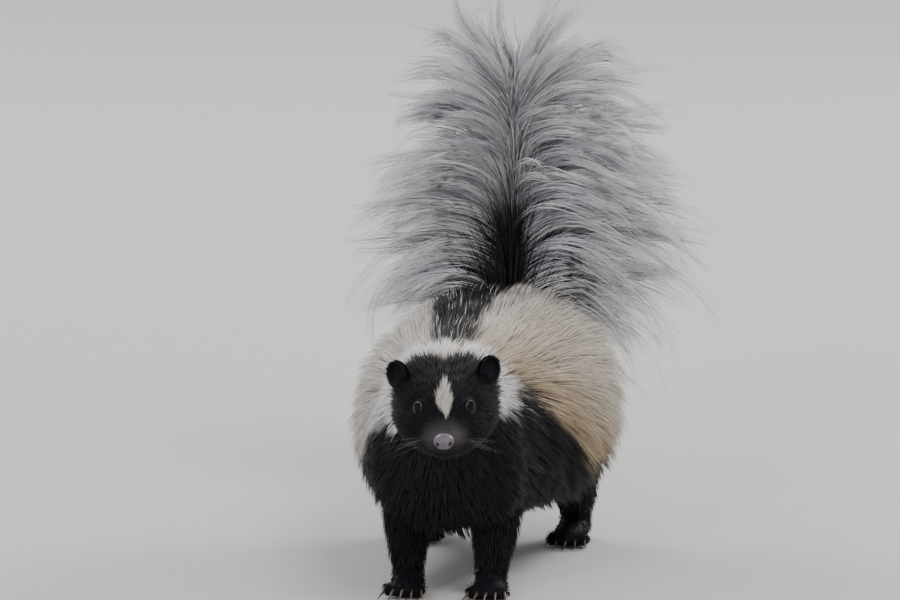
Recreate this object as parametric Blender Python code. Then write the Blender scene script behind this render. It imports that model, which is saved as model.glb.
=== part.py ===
"""A striped skunk, life size, standing still on its four feet with its tail raised and fanned.

Metres, +Z up. The animal faces -Y, its own left side is at +X, and its soles rest on Z = 0.
The origin is on the floor, under the middle of the animal's box. Each named part is a solid
of its own, and two parts that touch keep a narrow gap between their faces.
"""

import math

import bmesh
import bpy
import numpy as np
from mathutils import Matrix, Vector
from mathutils.bvhtree import BVHTree

GAP = 0.0003  # between the faces of two parts that touch
SEED = 20  # for the small differences between one lock of hair and the next
FLOOR_REACH = 0.4  # half width of the block that cuts the soles flat

# Flesh of the trunk, from the rump to the base of the neck. Each row holds the place along Y,
# the height of the middle, the half width, and the reach above and below the middle.
TRUNK = (
    (0.166, 0.120, 0.009, 0.009, 0.011),
    (0.158, 0.116, 0.026, 0.020, 0.030),
    (0.135, 0.109, 0.044, 0.036, 0.046),
    (0.095, 0.102, 0.053, 0.047, 0.050),
    (0.045, 0.099, 0.056, 0.048, 0.049),
    (0.000, 0.096, 0.053, 0.048, 0.046),
    (-0.045, 0.095, 0.046, 0.048, 0.043),
    (-0.080, 0.096, 0.041, 0.048, 0.042),
    (-0.105, 0.099, 0.038, 0.046, 0.041),
)
# Depth of the coat over that flesh: place along Y, depth at the sides, on top and below.
COAT = (
    (0.166, 0.030, 0.026, 0.024),
    (0.135, 0.036, 0.028, 0.020),
    (0.045, 0.040, 0.029, 0.018),
    (-0.045, 0.025, 0.029, 0.015),
    (-0.080, 0.016, 0.028, 0.012),
    (-0.105, 0.013, 0.027, 0.011),
)
CORE_SHARE = 0.45  # how far into the coat the solid core of the trunk reaches
TRUNK_POWER = 2.25  # roundness of the trunk's sections, where 2 is an ellipse
TRUNK_RINGS = 16
TRUNK_SIDES = 24

# The head's own frame has its origin at the tip of the nose, X to the animal's left,
# Y backwards and Z up.
NOSE_TIP = Vector((0.020, -0.226, 0.130))
HEAD_TURN = math.radians(8.8)
HEAD_NOD = math.radians(4)
HEAD_ROLL = math.radians(1.5)
HEAD_BACK = 0.086
# Along the head: distance behind the nose tip, half width, top, height of the widest place
# and bottom.
HEAD = (
    (0.0045, 0.0080, 0.0012, -0.0050, -0.0100),
    (0.0090, 0.0110, 0.0036, -0.0055, -0.0135),
    (0.0160, 0.0138, 0.0066, -0.0055, -0.0165),
    (0.0240, 0.0172, 0.0122, -0.0045, -0.0185),
    (0.0330, 0.0240, 0.0215, -0.0020, -0.0210),
    (0.0450, 0.0315, 0.0295, 0.0000, -0.0250),
    (0.0580, 0.0355, 0.0345, 0.0020, -0.0280),
    (0.0720, 0.0355, 0.0360, 0.0030, -0.0300),
    (0.0860, 0.0330, 0.0345, 0.0020, -0.0310),
)
HEAD_POWER = 2.1  # roundness of the head's sections, above and below their widest place
JAW_POWER = 1.85
HEAD_RINGS = 16
HEAD_SIDES = 28
MUZZLE_CAP = (0.62, 0.0016)  # size of the foremost ring beside the next, and how far it leads
CHIN_RECESS = 0.006  # how far the chin lies behind the upper lip
CHIN_HEIGHTS = (0.006, 0.013)  # below the head's axis, where the recess begins and is full
CHIN_REACH = (0.006, 0.026)  # behind the nose tip, where the recess begins to fade and is gone
MOUTH_ANGLE = math.radians(-40)  # where the line of the mouth runs round the muzzle
MOUTH_DEPTH = 0.0011
LIP_SWELL = 0.0005
MOUTH_BACK = 0.034  # the corner of the mouth, behind the nose tip

EYE_RADIUS = 0.0043
EYE_PLACE = Vector((0.0152, 0.0342, 0.0130))
EYE_TURN = math.radians(38)  # how far each eye looks outwards
EYE_LIFT = math.radians(8)
LID_WIDTH = 0.0033
LID_HEIGHT = 0.0038
LID_THICKNESS = 0.0008
LID_STEPS = 14
LID_SIDES = 5

EAR_PLACE = Vector((0.0295, 0.0640, 0.0270))
EAR_WIDTH = 0.0075
EAR_HEIGHT = 0.0105
EAR_DEPTH = 0.0075
EAR_TURN = math.radians(28)
EAR_LEAN = math.radians(14)

EAR_SIDES = 18
# The outline of the cup, from its back round the rim and into the hollow: reach and depth.
EAR_PROFILE = (
    (0.30, 1.00), (0.66, 0.80), (0.90, 0.40), (1.00, 0.02), (0.97, -0.12),
    (0.86, -0.10), (0.74, 0.12), (0.52, 0.38), (0.22, 0.52),
)

NOSE_WIDTH = 0.0066
NOSE_DEPTH = 0.0078
NOSE_HEIGHT = 0.0044
NOSE_PLACE = -0.0036  # height of the pad's middle in the head's frame
NOSTRIL = (0.0010, 0.0022, 0.0014)
NOSTRIL_PLACE = Vector((0.0036, 0.0014, -0.0042))
NOSTRIL_LEAN = math.radians(35)

# The bony part of the tail, from inside the rump through its bend to its tip.
TAIL_ROOT = Vector((0.000, 0.140, 0.128))
TAIL_BEND = Vector((-0.004, 0.190, 0.205))
TAIL_TIP = Vector((-0.002, 0.176, 0.306))
TAIL_RADIUS = (0.0150, 0.0110, 0.0070)

# Locks of the coat. Each is a flat ribbon with a ridge, bent along its lie and drawn to a tip.
COAT_STEPS = 5
TAIL_STEPS = 6
LOCK_SINK = 0.005  # how deep a root is sunk in the core
LOCK_THICKNESS = 0.0042
DEEPEST = 0.030  # no lock starts further than this inside what it is kept off
HIGHEST_TIP = 0.009  # a lock that would turn up more than this at its tip is left out
COAT_ROWS = 10
COAT_SPACING = 0.0248
COAT_WIDTH = 0.0246
COAT_LENGTH = 0.062
COAT_LIFT = math.radians(24)
RUMP_LOCKS = 7
COAT_LOWEST = math.radians(-38)  # no locks grow under the belly, below this angle
NAPE_ROWS = 2
NAPE_LENGTH = 0.027
NAPE_WIDTH = 0.020
COAT_CLEARANCE = 0.006  # between the hair of the tail and the coat of the trunk
TAIL_SEED = 25
TAIL_TIERS = 8
TAIL_REACH = (0.22, 0.97)  # the first and last tier, as shares of the bony tail
TAIL_RING = 10  # locks in a tier
TAIL_LENGTH = 0.196
TAIL_FLATNESS = 0.36  # how much shorter the hair is in front and behind than at the sides
TAIL_RIGHT = 0.80  # length of the hair on the animal's right beside that on its left
TAIL_WIDTH = 0.0190
TAIL_SINK = 0.009  # from the middle of the bony tail out to the roots
TUFT_LOCKS = 8
TUFT_LENGTH = 0.108

# Legs: the middle of each joint from the trunk down, and the limb's radius there.
FORELEG = ((0.027, -0.075, 0.082), (0.029, -0.082, 0.052), (0.028, -0.089, 0.0222))
FORELEG_RADIUS = (0.0185, 0.0165, 0.0125)
HINDLEG = ((0.038, 0.094, 0.084), (0.048, 0.108, 0.050), (0.050, 0.122, 0.0222))
HINDLEG_RADIUS = (0.0290, 0.0200, 0.0130)
LIMB_RINGS = 7
LIMB_SIDES = 14
ANKLE_HEIGHT = 0.0222
# The stump inside a foot, from the ankle down: share of the ankle's radius, shift and height.
STUMP = ((1.0, 0.0, 0.0219), (1.02, -0.0005, 0.015), (0.98, -0.001, 0.006), (0.90, -0.001, -0.002))

FOREPAW_LENGTH = 0.034
FOREPAW_WIDTH = 0.026
FOREPAW_HEEL = -0.077
HINDPAW_LENGTH = 0.058
HINDPAW_WIDTH = 0.027
HINDPAW_HEEL = 0.136
FORE_CLAW = 0.0150
HIND_CLAW = 0.0085
TOES = 5

FINISHES = {
    "black_fur": ((0.012, 0.011, 0.012), 0.72),
    "white_fur": ((0.72, 0.66, 0.56), 0.78),
    "silver_fur": ((0.46, 0.46, 0.47), 0.74),
    "nose_skin": ((0.20, 0.13, 0.12), 0.45),
    "eye_black": ((0.010, 0.008, 0.007), 0.08),
}


def clear_scene():
    """Removes whatever the scene holds."""
    for obj in list(bpy.data.objects):
        bpy.data.objects.remove(obj)


def dress(obj, finish):
    """Gives the part a material of its own, in one of the listed finishes."""
    colour, roughness = FINISHES[finish]
    material = bpy.data.materials.new(f"{obj.name}_{finish}")
    material.use_nodes = True
    shader = material.node_tree.nodes["Principled BSDF"]
    shader.inputs["Base Color"].default_value = (*colour, 1.0)
    shader.inputs["Roughness"].default_value = roughness
    shader.inputs["Metallic"].default_value = 0.0
    material.diffuse_color = (*colour, 1.0)
    obj.data.materials.clear()
    obj.data.materials.append(material)


def along(stations, places):
    """Smooth values at `places`, read from rows that start with a rising or falling place."""
    rows = np.array(sorted(stations), float)
    known, values = rows[:, 0], rows[:, 1:]
    slopes = np.gradient(values, known, axis=0)
    places = np.asarray(places, float)
    left = np.clip(np.searchsorted(known, places) - 1, 0, len(known) - 2)
    width = (known[left + 1] - known[left])[:, None]
    part = (places - known[left])[:, None] / width
    return (
        values[left] * (1 + 2 * part) * (1 - part) ** 2
        + slopes[left] * width * part * (1 - part) ** 2
        + values[left + 1] * part**2 * (3 - 2 * part)
        + slopes[left + 1] * width * part**2 * (part - 1)
    )


def shaped(value, power):
    """A cosine or sine bent to a superellipse of this power."""
    return np.sign(value) * np.abs(value) ** (2.0 / power)


def ramp(value, low, high):
    """An even rise from 0 at `low` to 1 at `high`."""
    return np.clip((value - low) / (high - low), 0, 1)


def solid(name, points, faces):
    """A mesh object of its own, with every face turned outwards."""
    mesh = bpy.data.meshes.new(name)
    mesh.from_pydata([tuple(point) for point in points], [], faces)
    work = bmesh.new()
    work.from_mesh(mesh)
    bmesh.ops.recalc_face_normals(work, faces=work.faces)
    work.to_mesh(mesh)
    work.free()
    obj = bpy.data.objects.new(name, mesh)
    bpy.context.scene.collection.objects.link(obj)
    return obj


def loft(name, rings, tip=None):
    """A closed solid through rings of points, flat at both ends or drawn to a tip."""
    count, sides = rings.shape[:2]
    points = list(rings.reshape(-1, 3))
    faces = [
        (
            ring * sides + side,
            ring * sides + (side + 1) % sides,
            (ring + 1) * sides + (side + 1) % sides,
            (ring + 1) * sides + side,
        )
        for ring in range(count - 1)
        for side in range(sides)
    ]
    faces.append(tuple(reversed(range(sides))))
    last = (count - 1) * sides
    if tip is None:
        faces.append(tuple(range(last, last + sides)))
    else:
        points.append(np.array(tip))
        faces += [
            (last + side, last + (side + 1) % sides, len(points) - 1) for side in range(sides)
        ]
    return solid(name, points, faces)


def ball(name, centre, radii, turn=None, rings=6, sides=10):
    """An ellipsoid of these three radii, turned about its centre."""
    mesh = bpy.data.meshes.new(name)
    work = bmesh.new()
    bmesh.ops.create_uvsphere(work, u_segments=sides, v_segments=rings, radius=1.0)
    turn = turn or Matrix.Identity(4)
    place = Matrix.Translation(centre) @ turn @ Matrix.Diagonal((*radii, 1.0))
    bmesh.ops.transform(work, matrix=place, verts=work.verts)
    work.to_mesh(mesh)
    work.free()
    obj = bpy.data.objects.new(name, mesh)
    bpy.context.scene.collection.objects.link(obj)
    return obj


def settle(obj):
    """Applies the object's modifiers."""
    graph = bpy.context.evaluated_depsgraph_get()
    mesh = bpy.data.meshes.new_from_object(obj.evaluated_get(graph))
    obj.modifiers.clear()
    obj.data = mesh


def keep_largest(obj):
    """Keeps the closed surface of the greatest volume, and fills what it encloses."""
    work = bmesh.new()
    work.from_mesh(obj.data)
    waiting = set(work.faces)
    groups = []
    while waiting:
        edge_of_search = [waiting.pop()]
        group = list(edge_of_search)
        while edge_of_search:
            face = edge_of_search.pop()
            for edge in face.edges:
                for other in edge.link_faces:
                    if other in waiting:
                        waiting.remove(other)
                        group.append(other)
                        edge_of_search.append(other)
        groups.append(group)

    def volume(group):
        total = 0.0
        for face in group:
            first = face.verts[0].co
            for one, two in zip(face.verts[1:-1], face.verts[2:]):
                total += first.dot(one.co.cross(two.co))
        return total

    groups.sort(key=volume)
    for group in groups[:-1]:
        bmesh.ops.delete(work, geom=group, context="FACES_ONLY")
    loose = [vert for vert in work.verts if not vert.link_faces]
    bmesh.ops.delete(work, geom=loose, context="VERTS")
    work.to_mesh(obj.data)
    work.free()


def combine(obj, others, operation, solver="MANIFOLD"):
    """Joins or cuts `obj` with other closed solids in one Boolean, which uses them up."""
    group = bpy.data.collections.new(f"{obj.name}_pieces")
    bpy.context.scene.collection.children.link(group)
    for other in others:
        bpy.context.scene.collection.objects.unlink(other)
        group.objects.link(other)
    modifier = obj.modifiers.new(operation.lower(), "BOOLEAN")
    modifier.operation = operation
    modifier.solver = solver
    modifier.operand_type = "COLLECTION"
    modifier.collection = group
    bpy.context.view_layer.update()
    settle(obj)
    for other in others:
        bpy.data.objects.remove(other)
    bpy.data.collections.remove(group)
    keep_largest(obj)
    return obj


def flesh(place, angle):
    """Points of the trunk's flesh at places along Y and angles round it, 0 at its left side."""
    shape = place.shape
    middle, wide, above, below = along(TRUNK, place.ravel()).T.reshape(4, *shape)
    across, rise = shaped(np.cos(angle), TRUNK_POWER), shaped(np.sin(angle), TRUNK_POWER)
    reach = np.where(rise > 0, above, below)
    return np.stack([wide * across, place, middle + reach * rise], axis=-1)


def trunk(place, angle, share, grow=0.0):
    """Points of the trunk with this share of its coat, and the outward directions there."""
    step = 0.0004
    forwards = flesh(place - step, angle) - flesh(place + step, angle)
    around = flesh(place, angle + step) - flesh(place, angle - step)
    out = np.cross(around, forwards)
    out /= np.linalg.norm(out, axis=-1, keepdims=True)
    side, top, under = along(COAT, place.ravel()).T.reshape(3, *place.shape)
    upright = np.sin(angle)
    depth = side * (1 - upright**2) + np.where(upright > 0, top, under) * upright**2
    return flesh(place, angle) + out * (share * depth + grow)[..., None], out


def trunk_rings(share, grow=0.0):
    """Rings of the trunk from the rump forwards, set closer together at the rump."""
    step = np.linspace(0.0, 1.0, TRUNK_RINGS) ** 1.6
    place = TRUNK[0][0] + (TRUNK[-1][0] - TRUNK[0][0]) * step
    angle = np.linspace(0, 2 * math.pi, TRUNK_SIDES, endpoint=False)
    place, angle = np.meshgrid(place, angle, indexing="ij")
    rings = trunk(place, angle, share, grow)[0]
    rings[-1, :, 1] = TRUNK[-1][0]
    return rings


def head_matrix():
    """Places the head's own frame in the animal's."""
    turn = Matrix.Rotation(HEAD_TURN, 4, "Z") @ Matrix.Rotation(HEAD_NOD, 4, "X")
    return Matrix.Translation(NOSE_TIP) @ turn @ Matrix.Rotation(-HEAD_ROLL, 4, "Y")


def in_place(points, matrix):
    """Points of a local frame, carried to the animal's."""
    turn = np.array(matrix.to_3x3())
    return points @ turn.T + np.array(matrix.translation)


def head_rings(grow=0.0, last=HEAD_BACK, count=HEAD_RINGS):
    """Rings of the head in its own frame, with the lips and the line between them."""
    step = np.linspace(0.0, 1.0, count)
    place = HEAD[0][0] + (last - HEAD[0][0]) * step**1.2
    wide, top, middle, bottom = along(HEAD, place).T
    angle = np.linspace(0, 2 * math.pi, HEAD_SIDES, endpoint=False)
    power = np.where(np.sin(angle) > 0, HEAD_POWER, JAW_POWER)
    across, rise = shaped(np.cos(angle), power), shaped(np.sin(angle), power)
    reach = np.where(rise > 0, (top - middle)[:, None], (middle - bottom)[:, None])
    fold = np.abs(np.abs(np.arctan2(np.sin(angle), np.abs(np.cos(angle))) - MOUTH_ANGLE))
    side_step = 2 * math.pi / HEAD_SIDES
    line = np.clip(1 - fold / side_step, 0, 1)
    swell = np.clip(1 - np.abs(fold / side_step - 1.0), 0, 1)
    fade = np.clip((MOUTH_BACK - place) / 0.006, 0, 1)[:, None]
    out = grow + fade * (LIP_SWELL * swell - MOUTH_DEPTH * line)
    recess = CHIN_RECESS * ramp(-(middle[:, None] + reach * rise), *CHIN_HEIGHTS)
    fore = (1 - ramp(place, *CHIN_REACH))[:, None]
    rings = np.empty((count, HEAD_SIDES, 3))
    rings[..., 0] = (wide[:, None] + out) * across
    rings[..., 1] = place[:, None] + (recess - grow) * fore
    rings[..., 2] = middle[:, None] + (reach + out) * rise
    share, lead = MUZZLE_CAP
    front = rings[0] * share
    front[:, 1] = place[0] - lead - grow
    front[:, 2] += middle[0] * (1 - share)
    return np.concatenate([front[None], rings])


def tree_of(obj):
    """A search tree over the object's surface."""
    points = [vert.co for vert in obj.data.vertices]
    return BVHTree.FromPolygons(points, [tuple(face.vertices) for face in obj.data.polygons])


def kept_off(line, tree, clearance):
    """The line with each point moved out to at least its clearance from a rounded solid."""
    moved = line.copy()
    for index, (point, wanted) in enumerate(zip(line, clearance)):
        near, out, _, away = tree.find_nearest(Vector(point))
        inside = (Vector(point) - near).dot(out) < 0 and away < DEEPEST
        if inside or away < wanted:
            moved[index] = near + out * wanted
    return moved


def hair_line(root, first, last, length, count):
    """A line that leaves its root one way and turns evenly until it runs the other way."""
    step = np.linspace(0, 1, count)
    part = (step[:-1] + step[1:]) / 2
    heading = (1 - part)[:, None] * first + part[:, None] * last
    heading /= np.linalg.norm(heading, axis=1, keepdims=True)
    return np.vstack([root, root + np.cumsum(heading * length / (count - 1), axis=0)])


def lock(line, out, width, thickness=LOCK_THICKNESS):
    """One flat, tapered lock along a line, its ridge towards `out`, broadest a third along."""
    step = np.linspace(0, 1, len(line))[:-1]
    heading = np.gradient(line, axis=0)[:-1]
    heading /= np.linalg.norm(heading, axis=1, keepdims=True)
    across = np.cross(heading, out)
    across /= np.linalg.norm(across, axis=1, keepdims=True)
    ridge = np.cross(across, heading)
    swell = np.clip(step / 0.4, 0, 1)
    half = 0.5 * width * (0.35 + 0.65 * swell) * (1 - np.clip((step - 0.3) / 0.7, 0, 1) ** 1.6)
    high = thickness * (1 - 0.6 * step)
    points = line[:-1]
    rings = np.stack(
        [
            points - across * half[:, None],
            points + across * half[:, None],
            points + ridge * high[:, None],
        ],
        axis=1,
    )
    return loft("lock", rings, tip=line[-1])


def clear_lock(line, out, width, neighbours):
    """The lock along a line, shortened until it meets no neighbour, or None if it can't be."""
    for reach in (1.0, 0.85, 0.7, 0.55):
        shorter = line[0] + (line - line[0]) * reach
        fuller = lock(shorter, out, width * 1.08, LOCK_THICKNESS * 1.25)
        touches = any(tree.overlap(tree_of(fuller)) for tree in neighbours)
        bpy.data.objects.remove(fuller)
        if not touches:
            return lock(shorter, out, width)
    return None


def coat_roots(rng):
    """Where the locks of the trunk grow: places and angles in staggered rows."""
    places, angles = [], []
    for row, place in enumerate(np.linspace(TRUNK[-1][0] + 0.006, TRUNK[1][0], COAT_ROWS)):
        wide, above = along(TRUNK, [place])[0][1:3] + CORE_SHARE * along(COAT, [place])[0][:2]
        sweep = math.pi - 2 * COAT_LOWEST
        count = max(5, round(sweep * 0.5 * (wide + above) / COAT_SPACING))
        turn = COAT_LOWEST + sweep * (np.arange(count) + 0.5 + 0.25 * (-1) ** row) / count
        places += list(place + rng.uniform(-0.002, 0.002, count))
        angles += list(turn + rng.uniform(-0.03, 0.03, count))
    places += [TRUNK[0][0] - 0.0015] * RUMP_LOCKS
    angles += list(np.radians(-200 + 220 * (np.arange(RUMP_LOCKS) + 0.5) / RUMP_LOCKS))
    return np.array(places), np.array(angles)


def coat_locks(core, obstacles, neighbours):
    """The long coat of the trunk, lying back and down, kept clear of what it hangs beside."""
    rng = np.random.default_rng(SEED)
    place, angle = coat_roots(rng)
    points, outs = trunk(place, angle, CORE_SHARE)
    side, top = along(COAT, place).T[:2]
    stand_off = (1 - CORE_SHARE) * np.where(np.sin(angle) > 0.7, top, side)
    tree = tree_of(core)
    locks = []
    for index, (point, out) in enumerate(zip(points, outs)):
        sideways = math.cos(angle[index])
        lie = np.array([0.16 * sideways, 1.0, -0.12 - 0.62 * abs(sideways) ** 1.5])
        lie /= np.linalg.norm(lie)
        along_skin = lie - out * lie.dot(out)
        along_skin /= np.linalg.norm(along_skin)
        first = along_skin * math.cos(COAT_LIFT) + out * math.sin(COAT_LIFT)
        fullness = min(1.0, side[index] / COAT[1][1])
        length = COAT_LENGTH * (0.70 + 0.30 * fullness) * rng.uniform(0.92, 1.12)
        last = 0.5 * (lie + along_skin)
        line = hair_line(point - out * LOCK_SINK, first, last, length + LOCK_SINK, COAT_STEPS)
        rise = np.linspace(0, 1, COAT_STEPS)
        line[2:] = kept_off(line[2:], tree, stand_off[index] * rise[2:] - 0.001)
        root_near = min(near.find_nearest(Vector(point))[3] for near in obstacles)
        if root_near < COAT_WIDTH * 0.45:
            continue
        for near in obstacles:
            line[1:] = kept_off(line[1:], near, COAT_WIDTH * (0.5 - 0.3 * rise[1:]))
        if line[-1, 2] - line[-2, 2] > HIGHEST_TIP:
            continue
        locks.append(clear_lock(line, out, COAT_WIDTH * rng.uniform(0.9, 1.1), neighbours))
    return [piece for piece in locks if piece]


def coat_obstacles():
    """Search trees over the limbs and the bony tail, which the coat hangs beside."""
    limbs = [limb("dock", (TAIL_ROOT, TAIL_BEND, TAIL_TIP), TAIL_RADIUS)]
    for side in (1, -1):
        limbs.append(limb("foreleg", FORELEG, FORELEG_RADIUS, side))
        limbs.append(limb("hindleg", HINDLEG, HINDLEG_RADIUS, side))
    trees = [tree_of(obj) for obj in limbs]
    for obj in limbs:
        bpy.data.objects.remove(obj)
    return trees


def make_torso(neighbours):
    """The trunk, from the rump to the base of the neck, with its long coat."""
    torso = loft("torso", trunk_rings(CORE_SHARE))
    trees = [tree_of(obj) for obj in neighbours]
    combine(torso, coat_locks(torso, coat_obstacles(), trees), "UNION")
    dress(torso, "white_fur")
    return torso


def neck_rings(count=5):
    """Rings of the neck, drawn from the trunk's front face to the back of the head."""
    back = trunk_rings(CORE_SHARE)[-1]
    angle = np.linspace(0, 2 * math.pi, TRUNK_SIDES, endpoint=False)
    wide, top, middle, bottom = along(HEAD, [HEAD_BACK]).T[:, 0]
    power = np.where(np.sin(angle) > 0, HEAD_POWER, JAW_POWER)
    across, rise = shaped(np.cos(angle), power), shaped(np.sin(angle), power)
    reach = np.where(rise > 0, top - middle, middle - bottom)
    front = np.stack(
        [wide * across, np.full(TRUNK_SIDES, HEAD_BACK + GAP), middle + reach * rise], axis=1
    )
    front = in_place(front, head_matrix())
    back = back - np.array([0.0, GAP, 0.0])
    step = np.linspace(0, 1, count)[:, None, None]
    rings = back + (front - back) * step
    middle_of_ring = rings.mean(axis=1, keepdims=True)
    return middle_of_ring + (rings - middle_of_ring) * (1 + 0.05 * np.sin(math.pi * step))


def nape_locks(neck):
    """Short locks over the nape and the sides of the neck, which end before the trunk."""
    rng = np.random.default_rng(SEED + 1)
    tree = tree_of(neck)
    rings = neck_rings(41)
    locks = []
    for row in range(NAPE_ROWS):
        step = 34 - 14 * row
        for turn in np.radians(np.arange(-15, 196, 30) + 15 * (row % 2)):
            side = round(turn / (2 * math.pi) * TRUNK_SIDES) % TRUNK_SIDES
            point = rings[step, side]
            near, out, _, _ = tree.find_nearest(Vector(point))
            out = np.array(out)
            lie = np.array([0.1 * math.cos(turn), 1.0, -0.35 - 0.5 * abs(math.cos(turn))])
            lie /= np.linalg.norm(lie)
            along_skin = lie - out * lie.dot(out)
            along_skin /= np.linalg.norm(along_skin)
            first = along_skin * math.cos(COAT_LIFT) + out * math.sin(COAT_LIFT)
            length = NAPE_LENGTH * rng.uniform(0.9, 1.1)
            line = hair_line(point - out * LOCK_SINK * 0.7, first, along_skin, length, COAT_STEPS)
            rise = np.linspace(0, 1, COAT_STEPS)
            line[2:] = kept_off(line[2:], tree, 0.009 * rise[2:] - 0.001)
            line[:, 1] = np.minimum(line[:, 1], TRUNK[-1][0] - 0.0015 - 0.002 * (1 - rise))
            locks.append(lock(line, out, NAPE_WIDTH, 0.0034))
    return locks


def make_neck():
    """The neck, with the short locks of the nape."""
    neck = loft("neck", neck_rings())
    combine(neck, nape_locks(neck), "UNION")
    dress(neck, "white_fur")
    return neck


def eye_frame(side):
    """The frame of one eye: its Y axis points backwards along the line of sight."""
    place = Vector((side * EYE_PLACE.x, EYE_PLACE.y, EYE_PLACE.z))
    turn = Matrix.Rotation(side * EYE_TURN, 4, "Z") @ Matrix.Rotation(-EYE_LIFT, 4, "X")
    return head_matrix() @ Matrix.Translation(place) @ turn


def make_lids(side):
    """A fold of skin that rings one eye."""
    around = np.linspace(0, 2 * math.pi, LID_STEPS, endpoint=False)[:, None]
    about = np.linspace(0, 2 * math.pi, LID_SIDES, endpoint=False)[None, :]
    rings = np.empty((LID_STEPS, LID_SIDES, 3))
    rings[..., 0] = (LID_WIDTH + LID_THICKNESS * np.cos(about)) * np.cos(around)
    rings[..., 1] = -math.sqrt(EYE_RADIUS**2 - LID_WIDTH**2) - LID_THICKNESS * np.sin(about)
    rings[..., 2] = (LID_HEIGHT + LID_THICKNESS * np.cos(about)) * np.sin(around)
    points = in_place(rings.reshape(-1, 3), eye_frame(side))
    faces = [
        (
            step * LID_SIDES + part,
            step * LID_SIDES + (part + 1) % LID_SIDES,
            (step + 1) % LID_STEPS * LID_SIDES + (part + 1) % LID_SIDES,
            (step + 1) % LID_STEPS * LID_SIDES + part,
        )
        for step in range(LID_STEPS)
        for part in range(LID_SIDES)
    ]
    return solid("lid", points, faces)


def make_head():
    """The skull and muzzle in one, with sockets and lids for the eyes."""
    rings = in_place(head_rings().reshape(-1, 3), head_matrix())
    head = loft("head", rings.reshape(-1, HEAD_SIDES, 3))
    combine(head, [make_lids(side) for side in (-1, 1)], "UNION")
    sockets = [
        ball("socket", eye_frame(side).translation, [EYE_RADIUS + GAP] * 3, rings=9, sides=14)
        for side in (-1, 1)
    ]
    combine(head, sockets, "DIFFERENCE")
    dress(head, "black_fur")
    return head


def make_eye(name, side):
    """One eyeball in its socket."""
    eye = ball(name, eye_frame(side).translation, [EYE_RADIUS] * 3, rings=9, sides=14)
    dress(eye, "eye_black")
    return eye


def grown_head():
    """The head's outline pushed out by the gap, which trims what sits on the head."""
    rings = in_place(head_rings(grow=GAP, last=HEAD_BACK + 0.0001).reshape(-1, 3), head_matrix())
    return loft("head_cutter", rings.reshape(-1, HEAD_SIDES, 3))


def make_nose():
    """The bare pad of the nose with its two nostrils, seated on the end of the muzzle."""
    frame = head_matrix()
    centre = Vector((0, NOSE_DEPTH, NOSE_PLACE))
    turn = frame.to_quaternion().to_matrix().to_4x4()
    nose = ball("nose", frame @ centre, (NOSE_WIDTH, NOSE_DEPTH, NOSE_HEIGHT), turn, 9, 14)
    holes = []
    for side in (-1, 1):
        place = frame @ Vector((side * NOSTRIL_PLACE.x, NOSTRIL_PLACE.y, NOSTRIL_PLACE.z))
        lean = turn @ Matrix.Rotation(side * NOSTRIL_LEAN, 4, "Y")
        holes.append(ball("nostril", place, NOSTRIL, lean, 5, 8))
    combine(nose, [*holes, grown_head()], "DIFFERENCE")
    dress(nose, "nose_skin")
    return nose


def make_ear(name, side):
    """One round ear: a shallow cup that opens forwards, seated on the side of the head."""
    around = np.linspace(0, 2 * math.pi, EAR_SIDES, endpoint=False)
    rings = np.empty((len(EAR_PROFILE), EAR_SIDES, 3))
    for ring, (reach, depth) in enumerate(EAR_PROFILE):
        rings[ring, :, 0] = EAR_WIDTH * reach * np.cos(around)
        rings[ring, :, 1] = EAR_DEPTH * depth
        rings[ring, :, 2] = EAR_HEIGHT * reach * np.sin(around)
    place = Vector((side * EAR_PLACE.x, EAR_PLACE.y, EAR_PLACE.z))
    turn = Matrix.Rotation(side * EAR_TURN, 4, "Z") @ Matrix.Rotation(side * EAR_LEAN, 4, "Y")
    frame = head_matrix() @ Matrix.Translation(place) @ turn
    points = in_place(rings.reshape(-1, 3), frame).reshape(rings.shape)
    ear = loft(name, points)
    combine(ear, [grown_head()], "DIFFERENCE")
    dress(ear, "black_fur")
    return ear


def bend(start, middle, end, step):
    """Points on the even curve that runs from `start` through `middle` to `end`."""
    start, middle, end = (np.array(point)[None, :] for point in (start, middle, end))
    turning = 2 * middle - 0.5 * (start + end)
    step = np.asarray(step)[:, None]
    return start * (1 - step) ** 2 + 2 * turning * step * (1 - step) + end * step**2


def trunk_cutter():
    """The trunk's core pushed out by the gap, which trims what grows from the trunk."""
    return loft("trunk_cutter", trunk_rings(CORE_SHARE, grow=GAP))


def tail_line(step):
    """Points along the middle of the bony tail, and the way it heads there."""
    line = bend(TAIL_ROOT, TAIL_BEND, TAIL_TIP, step)
    ahead = bend(TAIL_ROOT, TAIL_BEND, TAIL_TIP, step + 0.01) - line
    return line, ahead / np.linalg.norm(ahead, axis=1, keepdims=True)


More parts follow.
